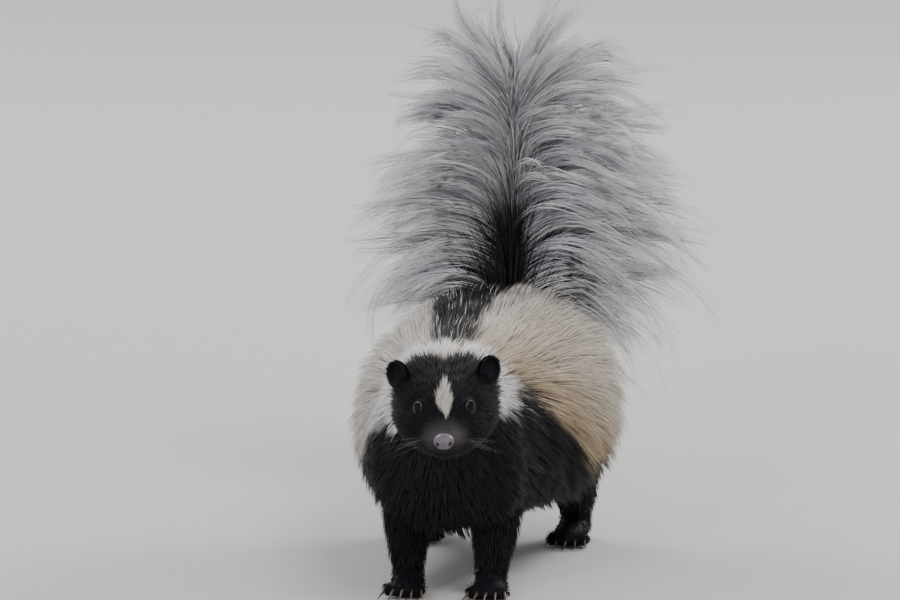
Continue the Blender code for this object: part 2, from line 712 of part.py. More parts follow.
def tail_locks(envelope):
    """The long hair of the tail: it rises along the tail, arches out all round and droops."""
    rng = np.random.default_rng(TAIL_SEED)
    locks = []
    for tier, step in enumerate(np.linspace(*TAIL_REACH, TAIL_TIERS)):
        (centre,), (heading,) = tail_line(np.array([step]))
        for place in np.arange(TAIL_RING) + 0.5 + 0.25 * (-1) ** tier:
            turn = 2 * math.pi * place / TAIL_RING + rng.uniform(-0.12, 0.12)
            out = np.array([math.cos(turn), math.sin(turn), 0.0])
            start = math.radians(30 - 12 * step + rng.uniform(-4, 4))
            end = math.radians(165 - 68 * step + rng.uniform(-9, 9))
            first = out * math.sin(start) + heading * math.cos(start)
            last = out * math.sin(end) + heading * math.cos(end)
            length = TAIL_LENGTH * (1 - TAIL_FLATNESS * abs(out[1])) * (1 - 0.34 * step**2)
            length *= rng.uniform(0.86, 1.03) * (1.0 if out[0] > 0 else TAIL_RIGHT)
            line = hair_line(centre + out * TAIL_SINK, first, last, length, TAIL_STEPS)
            line[1:] = kept_off(line[1:], envelope, [COAT_CLEARANCE] * (TAIL_STEPS - 1))
            ridge = np.cross(np.cross(first, last), first)
            ridge = -ridge / np.linalg.norm(ridge)
            locks.append(lock(line, ridge, TAIL_WIDTH * rng.uniform(0.85, 1.1)))
    (centre,), (heading,) = tail_line(np.array([TAIL_REACH[1]]))
    for turn in 2 * math.pi * (np.arange(TUFT_LOCKS) + 0.5) / TUFT_LOCKS:
        out = np.array([math.cos(turn), 0.7 * math.sin(turn), 0.0])
        first = heading + 0.45 * out
        last = heading * 0.15 + out * rng.uniform(0.7, 1.1)
        length = TUFT_LENGTH * rng.uniform(0.85, 1.05)
        line = hair_line(centre - heading * TAIL_SINK, first, last, length, TAIL_STEPS)
        locks.append(lock(line, -out, TAIL_WIDTH * 0.9))
    return locks


def make_tail():
    """The bony tail inside its long hair."""
    tail = limb("tail", (TAIL_ROOT, TAIL_BEND, TAIL_TIP), TAIL_RADIUS)
    combine(tail, [trunk_cutter()], "DIFFERENCE")
    coat = loft("coat_outline", trunk_rings(1.0))
    combine(tail, tail_locks(tree_of(coat)), "UNION")
    bpy.data.objects.remove(coat)
    dress(tail, "silver_fur")
    return tail


def limb(name, joints, radii, side=1):
    """A tapering round limb along a bent line."""
    mirror = np.array([side, 1, 1])
    start, middle, end = (np.array(joint) * mirror for joint in joints)
    step = np.linspace(0, 1, LIMB_RINGS)
    line = bend(start, middle, end, step)
    radius = along(tuple(zip((0.0, 0.5, 1.0), radii)), step)[:, 0]
    heading = np.gradient(line, axis=0)
    heading /= np.linalg.norm(heading, axis=1, keepdims=True)
    heading[-1] = (0, 0, -1) if end[2] < start[2] else heading[-1]
    across = np.cross(heading, [0.0, 1.0, 0.0])
    across /= np.linalg.norm(across, axis=1, keepdims=True)
    depth = np.cross(heading, across)
    angle = np.linspace(0, 2 * math.pi, LIMB_SIDES, endpoint=False)[None, :, None]
    round_it = across[:, None] * np.cos(angle) + depth[:, None] * np.sin(angle)
    return loft(name, line[:, None] + radius[:, None, None] * round_it)


def make_leg(name, joints, radii, side):
    """One leg from the trunk's lower side to its ankle."""
    leg = limb(name, joints, radii, side)
    combine(leg, [trunk_cutter()], "DIFFERENCE")
    dress(leg, "black_fur")
    return leg


def claw(place, length, thickness, spread):
    """A curved, pointed claw that leaves its toe forwards and comes down towards the floor."""
    step = np.linspace(0, 1, 4)[:-1]
    heading = np.array([math.sin(spread), -math.cos(spread), 0.0])
    drop = np.array([0, 0, 1.0])
    fall = drop * (place[2] - 0.0012) * step[:, None] ** 1.6
    line = place + heading * length * step[:, None] - fall
    radius = thickness * (1 - 0.75 * step)
    across = np.cross(heading, drop)
    angle = np.linspace(0, 2 * math.pi, 4, endpoint=False)
    rings = line[:, None] + radius[:, None, None] * (
        across * np.cos(angle)[:, None] * 0.8 + drop * np.sin(angle)[:, None] * 1.2
    )
    return loft("claw", rings, tip=place + heading * length - drop * (place[2] - 0.0006))


def floor_block():
    """A block whose top lies on the floor, which cuts a sole flat."""
    reach = (-FLOOR_REACH, FLOOR_REACH)
    corners = [(x, y, z) for x in reach for y in reach for z in (-FLOOR_REACH, 0.0)]
    sides = ((0, 1, 3, 2), (4, 6, 7, 5), (0, 4, 5, 1), (2, 3, 7, 6), (0, 2, 6, 4), (1, 5, 7, 3))
    return solid("floor", corners, sides)


def make_paw(name, side, heel, length, width, claw_length, ankle, ankle_radius):
    """One foot: stump of the leg, palm, toes and claws, cut flat where it stands."""
    middle = ankle[0] * side
    angle = np.linspace(0, 2 * math.pi, LIMB_SIDES, endpoint=False)
    circle = np.stack([np.cos(angle), np.sin(angle), np.zeros(LIMB_SIDES)], axis=1)
    centre = np.array([middle, ankle[1], 0.0])
    rings = [
        centre + circle * ankle_radius * reach + np.array([0, shift, height])
        for reach, shift, height in STUMP
    ]
    paw = loft(name, np.stack(rings))
    palm = Vector((middle, heel - length * 0.45, 0.0065))
    pieces = [ball("palm", palm, (width * 0.46, length * 0.50, 0.0095), rings=6, sides=12)]
    for toe in range(TOES):
        share = toe - (TOES - 1) / 2
        reach = length * (0.16 - 0.028 * abs(share)) + 0.004
        place = Vector((middle + share * width * 0.205, heel - length * 0.80, 0.0052))
        pieces.append(ball("toe", place, (width * 0.135, reach, 0.0056), rings=4, sides=7))
        start = np.array([place.x, place.y - reach + 0.004, 0.0062])
        spread = math.radians(8) * share
        pieces.append(claw(start, claw_length * (1 - 0.07 * abs(share)), 0.0019, spread))
    combine(paw, pieces, "UNION")
    combine(paw, [floor_block()], "DIFFERENCE")
    dress(paw, "black_fur")
    return paw


def make_paws(word, side):
    """The fore and hind foot of one side."""
    fore = (FOREPAW_HEEL, FOREPAW_LENGTH, FOREPAW_WIDTH, FORE_CLAW, FORELEG[-1], FORELEG_RADIUS[-1])
    hind = (HINDPAW_HEEL, HINDPAW_LENGTH, HINDPAW_WIDTH, HIND_CLAW, HINDLEG[-1], HINDLEG_RADIUS[-1])
    return [make_paw(f"forepaw_{word}", side, *fore), make_paw(f"hindpaw_{word}", side, *hind)]


def centre_on_floor(parts):
    """Moves every part so that the origin lies under the middle of the whole box."""
    corners = np.array([corner[:] for part in parts for corner in part.bound_box])
    low, high = corners.min(axis=0), corners.max(axis=0)
    shift = Matrix.Translation((-(low[0] + high[0]) / 2, -(low[1] + high[1]) / 2, -low[2]))
    for part in parts:
        part.data.transform(shift)


def main():
    """Makes every part of the animal."""
    clear_scene()
    legs = [
        make_leg(f"{pair}_{word}", joints, radii, side)
        for word, side in (("left", 1), ("right", -1))
        for pair, joints, radii in (
            ("foreleg", FORELEG, FORELEG_RADIUS),
            ("hindleg", HINDLEG, HINDLEG_RADIUS),
        )
    ]
    parts = [make_neck(), make_tail(), *legs]
    parts += [make_torso(parts), make_head(), make_nose()]
    for word, side in (("left", 1), ("right", -1)):
        parts += [make_eye(f"eye_{word}", side), make_ear(f"ear_{word}", side)]
        parts += make_paws(word, side)
    centre_on_floor(parts)
    for part in parts:
        part.data.shade_smooth()
        part.data.set_sharp_from_angle(angle=math.radians(40))


main()
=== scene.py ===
"""A striped skunk as a still, life-size model: skin, coat, tail hair, face, claws and studio.

Metres, +Z up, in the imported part's own frame. The animal faces -Y and its left side is at +X.
Its shapes are worked out in the animal's first frame, where the spine lies over X = 0, and are
then moved by one shift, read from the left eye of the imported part.
"""

from __future__ import annotations

import logging
import math
from collections.abc import Callable
from dataclasses import dataclass, field, fields
from enum import Enum, IntEnum
from typing import ClassVar

import bmesh
import bpy
import numpy as np
from mathutils import Matrix, Vector


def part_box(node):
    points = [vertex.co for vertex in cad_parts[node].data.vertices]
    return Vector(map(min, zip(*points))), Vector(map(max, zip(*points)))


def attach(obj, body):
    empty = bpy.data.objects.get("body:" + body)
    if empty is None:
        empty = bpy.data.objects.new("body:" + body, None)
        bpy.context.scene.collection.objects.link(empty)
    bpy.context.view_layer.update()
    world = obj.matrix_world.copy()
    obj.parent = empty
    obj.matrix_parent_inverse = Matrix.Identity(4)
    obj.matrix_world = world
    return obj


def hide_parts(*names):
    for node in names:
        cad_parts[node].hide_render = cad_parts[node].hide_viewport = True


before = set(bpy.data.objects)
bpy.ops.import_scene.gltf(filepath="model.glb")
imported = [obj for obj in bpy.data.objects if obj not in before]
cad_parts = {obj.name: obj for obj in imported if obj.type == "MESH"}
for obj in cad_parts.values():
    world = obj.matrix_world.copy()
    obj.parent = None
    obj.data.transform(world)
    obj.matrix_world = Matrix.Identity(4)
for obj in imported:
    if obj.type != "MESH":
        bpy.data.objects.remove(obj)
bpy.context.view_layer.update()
log = logging.getLogger("skunk")

Array = np.ndarray
Place = tuple[float, float, float]
Colour = tuple[float, float, float, float]
Rows = tuple[tuple[float, ...], ...]

TURN = 2 * math.pi
UP = np.array([0.0, 0.0, 1.0])
FLESH_NODES = (
    "torso", "neck", "head", "ear_left", "ear_right", "foreleg_left", "foreleg_right",
    "hindleg_left", "hindleg_right", "forepaw_left", "forepaw_right", "hindpaw_left",
    "hindpaw_right",
)


class Slot(Enum):
    """The record's material slots."""

    FUR = "body_fur"
    TAIL = "tail_hair"
    NOSE = "nose_skin"
    EYE = "eye"
    CLAW = "claw_horn"


class Side(IntEnum):
    """The animal's own sides, with the sign of X on each."""

    LEFT = 1
    RIGHT = -1

    @property
    def word(self) -> str:
        """The side's name in the names of pieces."""
        return self.name.lower()


class Pair(Enum):
    """The two pairs of legs."""

    FORE = "fore"
    HIND = "hind"


def along(stations: Rows, places: Array) -> Array:
    """Smooth values at places, by cubic pieces through rows that start with a place.

    Args:
        stations: Rows of a place and the values there.
        places: Where to read the values; an array of any shape.

    Returns:
        An array of the places' shape with one more axis, for the values.
    """
    rows = np.array(sorted(stations), float)
    known, values = rows[:, 0], rows[:, 1:]
    slopes = np.gradient(values, known, axis=0)
    flat = np.clip(np.ravel(places), known[0], known[-1])
    left = np.clip(np.searchsorted(known, flat) - 1, 0, len(known) - 2)
    width = (known[left + 1] - known[left])[:, None]
    part = (flat - known[left])[:, None] / width
    made = (
        values[left] * (1 + 2 * part) * (1 - part) ** 2
        + slopes[left] * width * part * (1 - part) ** 2
        + values[left + 1] * part**2 * (3 - 2 * part)
        + slopes[left + 1] * width * part**2 * (part - 1)
    )
    return made.reshape(*np.shape(places), values.shape[1])


def shaped(value: Array, power: Array | float) -> Array:
    """A cosine or sine bent to a superellipse: its size raised to two over the power."""
    return np.sign(value) * np.abs(value) ** (2.0 / power)


def unit(vectors: Array) -> Array:
    """Vectors along the last axis, brought to length one."""
    return vectors / np.maximum(np.linalg.norm(vectors, axis=-1, keepdims=True), 1e-9)


def ramp(value: Array, low: Array | float, high: Array | float) -> Array:
    """A smooth rise from 0 at low to 1 at high: three times the square less twice the cube."""
    part = np.clip((value - low) / (high - low), 0, 1)
    return part * part * (3 - 2 * part)


def carried(points: Array, matrix: Matrix) -> Array:
    """Points of a local frame, carried by a matrix without scale."""
    return points @ np.array(matrix.to_3x3()).T + np.array(matrix.translation)


def in_surface(way: Array, out: Array) -> Array:
    """Directions less their share along the outward ones, so that they lie in the surface."""
    return unit(way - out * (way * out).sum(-1, keepdims=True))


def lifted(flat: Array, out: Array, degrees: Array) -> Array:
    """Directions raised by an angle: its cosine times flat plus its sine times out."""
    lift = np.radians(degrees)[:, None]
    return flat * np.cos(lift) + out * np.sin(lift)


def waves(points: Array, size: float, seed: int) -> Array:
    """A smooth unevenness from -1 to 1: the mean of six sine waves in seeded directions.

    Args:
        points: Places, with X, Y and Z along the last axis.
        size: The rough length of one wave.
        seed: The seed of the waves' directions and starts.

    Returns:
        One value for each place.
    """
    rng = np.random.default_rng(seed)
    heading = unit(rng.normal(size=(6, 3))) * rng.uniform(0.7, 1.4, (6, 1)) * TURN / size
    start = rng.uniform(0, TURN, 6)
    return np.sin(points @ heading.T + start).mean(axis=-1) * 1.8


def ring_quads(rings: int, sides: int, closed: bool = False) -> Array:
    """Quads between neighbouring rings of a grid whose rings close on themselves.

    Args:
        rings: How many rings the grid has.
        sides: How many points each ring has.
        closed: Whether the last ring meets the first.

    Returns:
        The four point numbers of each quad, ring by ring.
    """
    low = np.arange(rings * sides).reshape(rings, sides)
    high = np.roll(low, -1, axis=0)
    if not closed:
        low, high = low[:-1], high[:-1]
    corners = [low, np.roll(low, -1, axis=1), np.roll(high, -1, axis=1), high]
    return np.stack(corners, axis=-1).reshape(-1, 4)


def new_mesh(name: str, points: Array, faces: list[Array]) -> bpy.types.Mesh:
    """A mesh from whole arrays.

    Args:
        name: The mesh's name.
        points: Its points, one a row.
        faces: Arrays of faces, each with as many point numbers a row as its faces have corners.

    Returns:
        The mesh, with its faces in the order given.
    """
    corners = np.concatenate([group.ravel() for group in faces])
    sizes = np.concatenate([np.full(len(group), group.shape[1]) for group in faces])
    return filled_mesh(name, points, corners, np.cumsum(sizes) - sizes)


def filled_mesh(name: str, points: Array, corners: Array, starts: Array) -> bpy.types.Mesh:
    """A mesh from points, the point number of every corner, and where each face starts.

    Args:
        name: The mesh's name.
        points: Its points, one a row.
        corners: The point number of every corner, face after face.
        starts: The place of each face's first corner among them.

    Returns:
        The mesh.
    """
    mesh = bpy.data.meshes.new(name)
    mesh.vertices.add(len(points))
    mesh.vertices.foreach_set("co", points.astype(np.float32).ravel())
    mesh.loops.add(len(corners))
    mesh.loops.foreach_set("vertex_index", corners.astype(np.int32))
    mesh.polygons.add(len(starts))
    mesh.polygons.foreach_set("loop_start", starts.astype(np.int32))
    mesh.update(calc_edges=True)
    return mesh


def linked(name: str, mesh: bpy.types.Mesh) -> bpy.types.Object:
    """Puts a mesh into the scene.

    Args:
        name: The object's name.
        mesh: The mesh.

    Returns:
        The object, at the origin.
    """
    obj = bpy.data.objects.new(name, mesh)
    bpy.context.scene.collection.objects.link(obj)
    return obj


def outward(mesh: bpy.types.Mesh) -> bpy.types.Mesh:
    """Turns every face of a mesh outwards.

    Args:
        mesh: The mesh, which is changed.

    Returns:
        The same mesh.
    """
    work = bmesh.new()
    work.from_mesh(mesh)
    bmesh.ops.recalc_face_normals(work, faces=work.faces)
    work.to_mesh(mesh)
    work.free()
    return mesh


def smooth_object(name: str, mesh: bpy.types.Mesh) -> bpy.types.Object:
    """The object of a mesh whose faces are turned outwards and shaded smooth."""
    outward(mesh).shade_smooth()
    return linked(name, mesh)


def closed_tube(name: str, grid: Array) -> bpy.types.Object:
    """A closed solid from a grid of rings, each end drawn as a fan to a pole at its middle.

    Args:
        name: The object's name.
        grid: Points by ring and by place round the ring.

    Returns:
        The object, at the origin.
    """
    rings, sides = grid.shape[:2]
    points = np.vstack([grid.reshape(-1, 3), grid[0].mean(axis=0), grid[-1].mean(axis=0)])
    start = np.arange(sides)
    end = start + (rings - 1) * sides
    first, last = np.full(sides, rings * sides), np.full(sides, rings * sides + 1)
    fans = np.vstack([
        np.stack([np.roll(start, -1), start, first], axis=-1),
        np.stack([end, np.roll(end, -1), last], axis=-1),
    ])
    return smooth_object(name, new_mesh(name, points, [ring_quads(rings, sides), fans]))


def coordinates(mesh: bpy.types.Mesh) -> Array:
    """Reads the points of a mesh.

    Args:
        mesh: The mesh.

    Returns:
        The points, one a row.
    """
    values = np.empty(len(mesh.vertices) * 3, np.float32)
    mesh.vertices.foreach_get("co", values)
    return values.reshape(-1, 3)


def set_tones(mesh: bpy.types.Mesh, tones: dict[str, Array]) -> None:
    """Keeps numbers on a mesh.

    Args:
        mesh: The mesh.
        tones: One number for each point, under each name.
    """
    for name, values in tones.items():
        layer = mesh.attributes.new(name, "FLOAT", "POINT")
        layer.data.foreach_set("value", values.astype(np.float32))


def settle(obj: bpy.types.Object) -> None:
    """Applies an object's modifiers.

    Args:
        obj: The object, which gets the finished mesh.
    """
    graph = bpy.context.evaluated_depsgraph_get()
    mesh = bpy.data.meshes.new_from_object(obj.evaluated_get(graph))
    obj.modifiers.clear()
    obj.data = mesh


def joined(name: str, objects: list[bpy.types.Object]) -> bpy.types.Object:
    """One object that holds the meshes of several, which are removed.

    Args:
        name: The new object's name.
        objects: The objects to join.

    Returns:
        The new object, at the origin.
    """
    points, corners, starts = [], [], []
    point_count, corner_count = 0, 0
    for obj in objects:
        mesh = obj.data
        numbers = np.empty(len(mesh.loops), np.int32)
        begins = np.empty(len(mesh.polygons), np.int32)
        mesh.loops.foreach_get("vertex_index", numbers)
        mesh.polygons.foreach_get("loop_start", begins)
        points.append(coordinates(mesh))
        corners.append(numbers + point_count)
        starts.append(begins + corner_count)
        point_count += len(mesh.vertices)
        corner_count += len(numbers)
        bpy.data.objects.remove(obj)
    whole = [np.concatenate(each) for each in (points, corners, starts)]
    return smooth_object(name, filled_mesh(name, *whole))


class Surface:
    """A closed tube over u along it and v round it, both from 0 to 1."""

    def at(self, u: Array, v: Array) -> Array:
        """Points of the surface. Each kind of surface gives its own formula.

        Args:
            u: Places along the surface, from 0 to 1.
            v: Places round it, from 0 to 1.

        Returns:
            The points, with X, Y and Z along a last axis.
        """
        raise NotImplementedError

    def out(self, u: Array, v: Array) -> Array:
        """Outward directions: the cross product of the steps along v and u, turned outwards.

        Args:
            u: Places along the surface.
            v: Places round it.

        Returns:
            A direction of length one for each place.
        """
        step = 0.002
        low, high = np.clip(u - step, 0, 1), np.clip(u + step, 0, 1)
        ahead = self.at(high, v) - self.at(low, v)
        around = self.at(u, v + step) - self.at(u, v - step)
        made = unit(np.cross(around, ahead))
        from_middle = self.at(u, v) - 0.5 * (self.at(u, v) + self.at(u, v + 0.5))
        return made * np.where((made * from_middle).sum(-1, keepdims=True) < 0, -1.0, 1.0)

    def grid(self, rings: int, sides: int) -> Array:
        """A grid of points, rings along the surface and sides round it."""
        u, v = np.meshgrid(np.linspace(0, 1, rings), np.arange(sides) / sides, indexing="ij")
        return self.at(u, v)

    def scatter(
        self,
        count: int,
        rng: np.random.Generator,
        weight: Callable[[Array, Array], Array] | None = None,
    ) -> tuple[Array, Array]:
        """Seeded places spread over the surface, evenly or by a weight.

        The surface is cut into cells. Each place falls in a cell with a chance that follows
        the cell's area, and evenly within it.

        Args:
            count: How many places to make.
            rng: The source of the draws.
            weight: A function of u and v that says how dense the places are, or None.

        Returns:
            The places' u and v.
        """
        cells = 96
        middle = (np.arange(cells) + 0.5) / cells
        u, v = np.meshgrid(middle, middle, indexing="ij")
        half = 0.5 / cells
        along_u = self.at(np.minimum(u + half, 1), v) - self.at(np.maximum(u - half, 0), v)
        along_v = self.at(u, v + half) - self.at(u, v - half)
        area = np.linalg.norm(np.cross(along_u, along_v), axis=-1)
        if weight is not None:
            area = area * weight(u, v)
        total = np.cumsum(area.ravel())
        pick = np.searchsorted(total, rng.uniform(0, total[-1], count))
        pick = np.minimum(pick, cells * cells - 1)
        jitter = rng.uniform(0, 1, (2, count))
        return (pick // cells + jitter[0]) / cells, (pick % cells + jitter[1]) / cells


@dataclass
class Trunk(Surface):
    """The trunk from the rump forwards: superellipses whose size follows the stations.

    Each station holds a place along Y, the height of the middle, the half width, and the reach
    above and below. Each coat row holds a place and the coat's depth at the sides, on top and
    below. share is how much of that depth the skin takes up.
    """

    share: float = 0.28
    power: float = 2.25
    stations: Rows = (
        (0.166, 0.120, 0.009, 0.009, 0.011),
        (0.158, 0.116, 0.026, 0.020, 0.030),
        (0.135, 0.109, 0.044, 0.036, 0.046),
        (0.095, 0.102, 0.053, 0.047, 0.050),
        (0.045, 0.099, 0.056, 0.048, 0.049),
        (0.000, 0.096, 0.053, 0.048, 0.046),
        (-0.045, 0.095, 0.046, 0.048, 0.043),
        (-0.080, 0.096, 0.041, 0.048, 0.042),
        (-0.105, 0.099, 0.038, 0.046, 0.041),
    )
    coat: Rows = (
        (0.166, 0.030, 0.026, 0.024),
        (0.135, 0.036, 0.028, 0.020),
        (0.045, 0.040, 0.029, 0.018),
        (-0.045, 0.025, 0.029, 0.015),
        (-0.080, 0.016, 0.028, 0.012),
        (-0.105, 0.013, 0.027, 0.011),
    )

    def section(self, place: Array, share: Array | float) -> tuple[Array, Array, Array, Array]:
        """The sections at some places, each swollen by a share of the coat's depth.

        Args:
            place: Places along Y.
            share: The share of the coat's depth that is added.

        Returns:
            The height of the middle, the half width, the reach above and the reach below.
        """
        middle, wide, above, below = np.moveaxis(along(self.stations, place), -1, 0)
        side, top, under = np.moveaxis(along(self.coat, place), -1, 0)
        return middle, wide + share * side, above + share * top, below + share * under

    def at(self, u: Array, v: Array) -> Array:
        """Points: an angle of v turns on the section at the place that u gives."""
        rump, front = self.stations[0][0], self.stations[-1][0]
        place = rump + (front - rump) * u**1.5
        middle, wide, above, below = self.section(place, self.share)
        across = shaped(np.cos(TURN * v), self.power)
        rise = shaped(np.sin(TURN * v), self.power)
        height = middle + np.where(rise > 0, above, below) * rise
        return np.stack([wide * across, place, height], axis=-1)

    def held_out(self, points: Array, share: Array, loose: float = 0.0) -> Array:
        """Points moved straight away from the trunk's middle line until they reach a share.

        Args:
            points: Places, with X, Y and Z along the last axis.
            share: The share of the coat's depth that each has to reach.
            loose: How much of a point's own standing out beyond that share it keeps.

        Returns:
            The moved places. Those past either end of the trunk stay.
        """
        middle, wide, above, below = self.section(points[..., 1], share)
        up = points[..., 2] - middle
        reach = np.where(up > 0, above, below)
        ratio = np.abs(points[..., 0] / wide) ** self.power + np.abs(up / reach) ** self.power
        ratio = np.maximum(ratio ** (1 / self.power), 1e-3)
        wanted = np.where(ratio < 1, 1.0, 1 + (ratio - 1) * loose)
        inside = (points[..., 1] < self.stations[0][0]) & (points[..., 1] > self.stations[-1][0])
        factor = np.where(inside, wanted / ratio, 1.0)
        moved = points.copy()
        moved[..., 0] *= factor
        moved[..., 2] = middle + up * factor
        return np.where(inside[..., None], moved, points)


@dataclass
class Head(Surface):
    """The head and muzzle: superellipses along the head's own Y axis, with the face's folds.

    Each station holds a distance behind the tip of the nose, the half width, and the heights of
    the top, the widest line and the bottom. The skin lies inside them by the depth in fur.
    """

    nose_tip: Vector = field(default_factory=lambda: Vector((0.020, -0.226, 0.130)))
    turn: float = math.radians(8.8)
    nod: float = math.radians(4)
    roll: float = math.radians(1.5)
    power: float = 2.1
    jaw_power: float = 1.66
    stations: Rows = (
        (0.0045, 0.0080, 0.0012, -0.0050, -0.0100),
        (0.0090, 0.0110, 0.0036, -0.0055, -0.0135),
        (0.0160, 0.0138, 0.0066, -0.0055, -0.0165),
        (0.0240, 0.0172, 0.0122, -0.0045, -0.0185),
        (0.0330, 0.0240, 0.0215, -0.0020, -0.0210),
        (0.0450, 0.0315, 0.0295, 0.0000, -0.0250),
        (0.0580, 0.0355, 0.0345, 0.0020, -0.0280),
        (0.0720, 0.0355, 0.0360, 0.0030, -0.0300),
        (0.0860, 0.0330, 0.0345, 0.0020, -0.0310),
    )
    fur: Rows = (
        (0.0045, 0.0003), (0.024, 0.0010), (0.040, 0.0028), (0.060, 0.0050), (0.086, 0.0060),
    )
    mouth_angle: float = math.radians(-40)
    mouth_back: float = 0.027
    mouth_depth: float = 0.0013
    lip_height: float = 0.0007
    chin_recess: float = 0.0060
    cap: float = 0.05
    cap_depth: float = 0.002
    eye_place: Place = (0.0152, 0.0342, 0.0130)
    eye_radius: float = 0.0043
    eye_outwards: float = math.radians(38)
    eye_upwards: float = math.radians(-8)

    def matrix(self) -> Matrix:
        """Places the head's own frame in the animal's."""
        turned = Matrix.Rotation(self.turn, 4, "Z") @ Matrix.Rotation(self.nod, 4, "X")
        return Matrix.Translation(self.nose_tip) @ turned @ Matrix.Rotation(-self.roll, 4, "Y")

    def place(self, u: Array) -> Array:
        """Distance behind the nose tip at u."""
        return self.stations[0][0] + (self.stations[-1][0] - self.stations[0][0]) * u**1.2

    def local(self, u: Array, v: Array) -> Array:
        """Points in the head's own frame.

        The section at u is a superellipse, squarer above than at the jaw. The lips stand out
        beside the mouth, which is a groove at its own angle, and both fade behind the corner of
        the mouth. Over the first share of u, the cap, the section shrinks as a quarter circle
        does, and the chin is set back there.

        Args:
            u: Places along the head, from its front.
            v: Places round it.

        Returns:
            The points.
        """
        place = self.place(u)
        wide, top, middle, bottom = np.moveaxis(along(self.stations, place), -1, 0)
        depth = along(self.fur, place)[..., 0]
        cosine, sine = np.cos(TURN * v), np.sin(TURN * v)
        power = np.where(sine > 0, self.power, self.jaw_power)
        across, rise = shaped(cosine, power), shaped(sine, power)
        reach = np.where(rise > 0, top - middle, middle - bottom)
        from_mouth = np.abs(np.arctan2(sine, np.abs(cosine)) - self.mouth_angle)
        fade = 1 - ramp(place, self.mouth_back - 0.006, self.mouth_back)
        lips = self.lip_height * np.exp(-(((from_mouth - 0.17) / 0.10) ** 2))
        groove = self.mouth_depth * np.exp(-((from_mouth / 0.045) ** 2))
        relief = fade * (lips - groove) - depth
        x, z = (wide + relief) * across, middle + (reach + relief) * rise
        front = np.clip(1 - u / self.cap, 0, 1)
        round_off = np.sqrt(np.clip(1 - front**2, 0, 1))
        chin = self.chin_recess * ramp(-z, 0.006, 0.013) * (1 - ramp(place, 0.006, 0.026))
        height = middle * (1 - round_off) + z * round_off
        return np.stack([x * round_off, place - self.cap_depth * front + chin, height], axis=-1)

    def at(self, u: Array, v: Array) -> Array:
        """Points of the head in the animal's frame."""
        return carried(self.local(u, v), self.matrix())

    def eye_matrix(self, side: Side) -> Matrix:
        """The frame of one eye, whose Y axis points backwards along the line of sight.

        Args:
            side: The eye's side.

        Returns:
            The matrix that places it in the animal's frame.
        """
        across, back, up = self.eye_place
        outwards = Matrix.Rotation(side * self.eye_outwards, 4, "Z")
        turned = outwards @ Matrix.Rotation(self.eye_upwards, 4, "X")
        return self.matrix() @ Matrix.Translation((side * across, back, up)) @ turned


@dataclass
class Neck(Surface):
    """The neck: each point of the trunk's front ring drawn straight to the back of the head.

    back_middle is the middle of the neck at the trunk, and front_middle that at the skull, in
    the head's own frame.
    """

    trunk: Trunk
    head: Head
    bulge: float = 0.06
    back_middle: Place = (0.0, -0.105, 0.1)
    front_middle: Place = (0.0, 0.086, 0.002)

    def at(self, u: Array, v: Array) -> Array:
        """Points: u mixes the two rings, with a swell of half a sine wave between them."""
        ones = np.ones_like(u)
        back, front = self.trunk.at(ones, v), self.head.at(ones, v)
        point = back + (front - back) * u[..., None]
        line = (1 - u)[..., None] * np.array(self.back_middle)
        line = line + u[..., None] * carried(np.array(self.front_middle), self.head.matrix())
        return line + (point - line) * (1 + self.bulge * np.sin(math.pi * u))[..., None]


@dataclass
class Limb(Surface):
    """A round limb along a bent line, its radius eased through three joints.

    The joints are those of the left side. The skin lies inside the radii by the fur's depth.
    """

    joints: tuple[Place, Place, Place]
    radii: tuple[float, float, float]
    side: Side = Side.LEFT
    fur: float = 0.003

    def line(self, u: Array) -> Array:
        """The middle line: a quadratic curve through the three joints.

        Args:
            u: Places along it.

        Returns:
            The points.
        """
        start, middle, end = (np.array(joint) * [self.side, 1, 1] for joint in self.joints)
        turning = 2 * middle - 0.5 * (start + end)
        u = u[..., None]
        return start * (1 - u) ** 2 + 2 * turning * u * (1 - u) + end * u**2

    def heading(self, u: Array) -> Array:
        """The way the middle line runs."""
        return unit(self.line(np.minimum(u + 0.01, 1)) - self.line(np.maximum(u - 0.01, 0)))

    def at(self, u: Array, v: Array) -> Array:
        """Points: a circle of the radius at u, square to the middle line."""
        heading = self.heading(u)
        across = unit(np.cross(heading, [0.0, 1.0, 0.0]))
        depth = np.cross(heading, across)
        rows = tuple(zip((0.0, 0.5, 1.0), self.radii))
        radius = (along(rows, u)[..., 0] - self.fur)[..., None]
        turn = TURN * v[..., None]
        return self.line(u) + radius * (across * np.cos(turn) + depth * np.sin(turn))


@dataclass
class Egg(Surface):
    """An ellipsoid with its poles in front and behind."""

    centre: Place
    radii: Place

    def at(self, u: Array, v: Array) -> Array:
        """Points: u runs from the front pole to the back one, v turns about Y."""
        swing = math.pi * (0.03 + 0.94 * u)
        across, up = np.sin(swing) * np.cos(TURN * v), np.sin(swing) * np.sin(TURN * v)
        local = np.stack([across, -np.cos(swing), up], axis=-1)
        return np.array(self.centre) + np.array(self.radii) * local


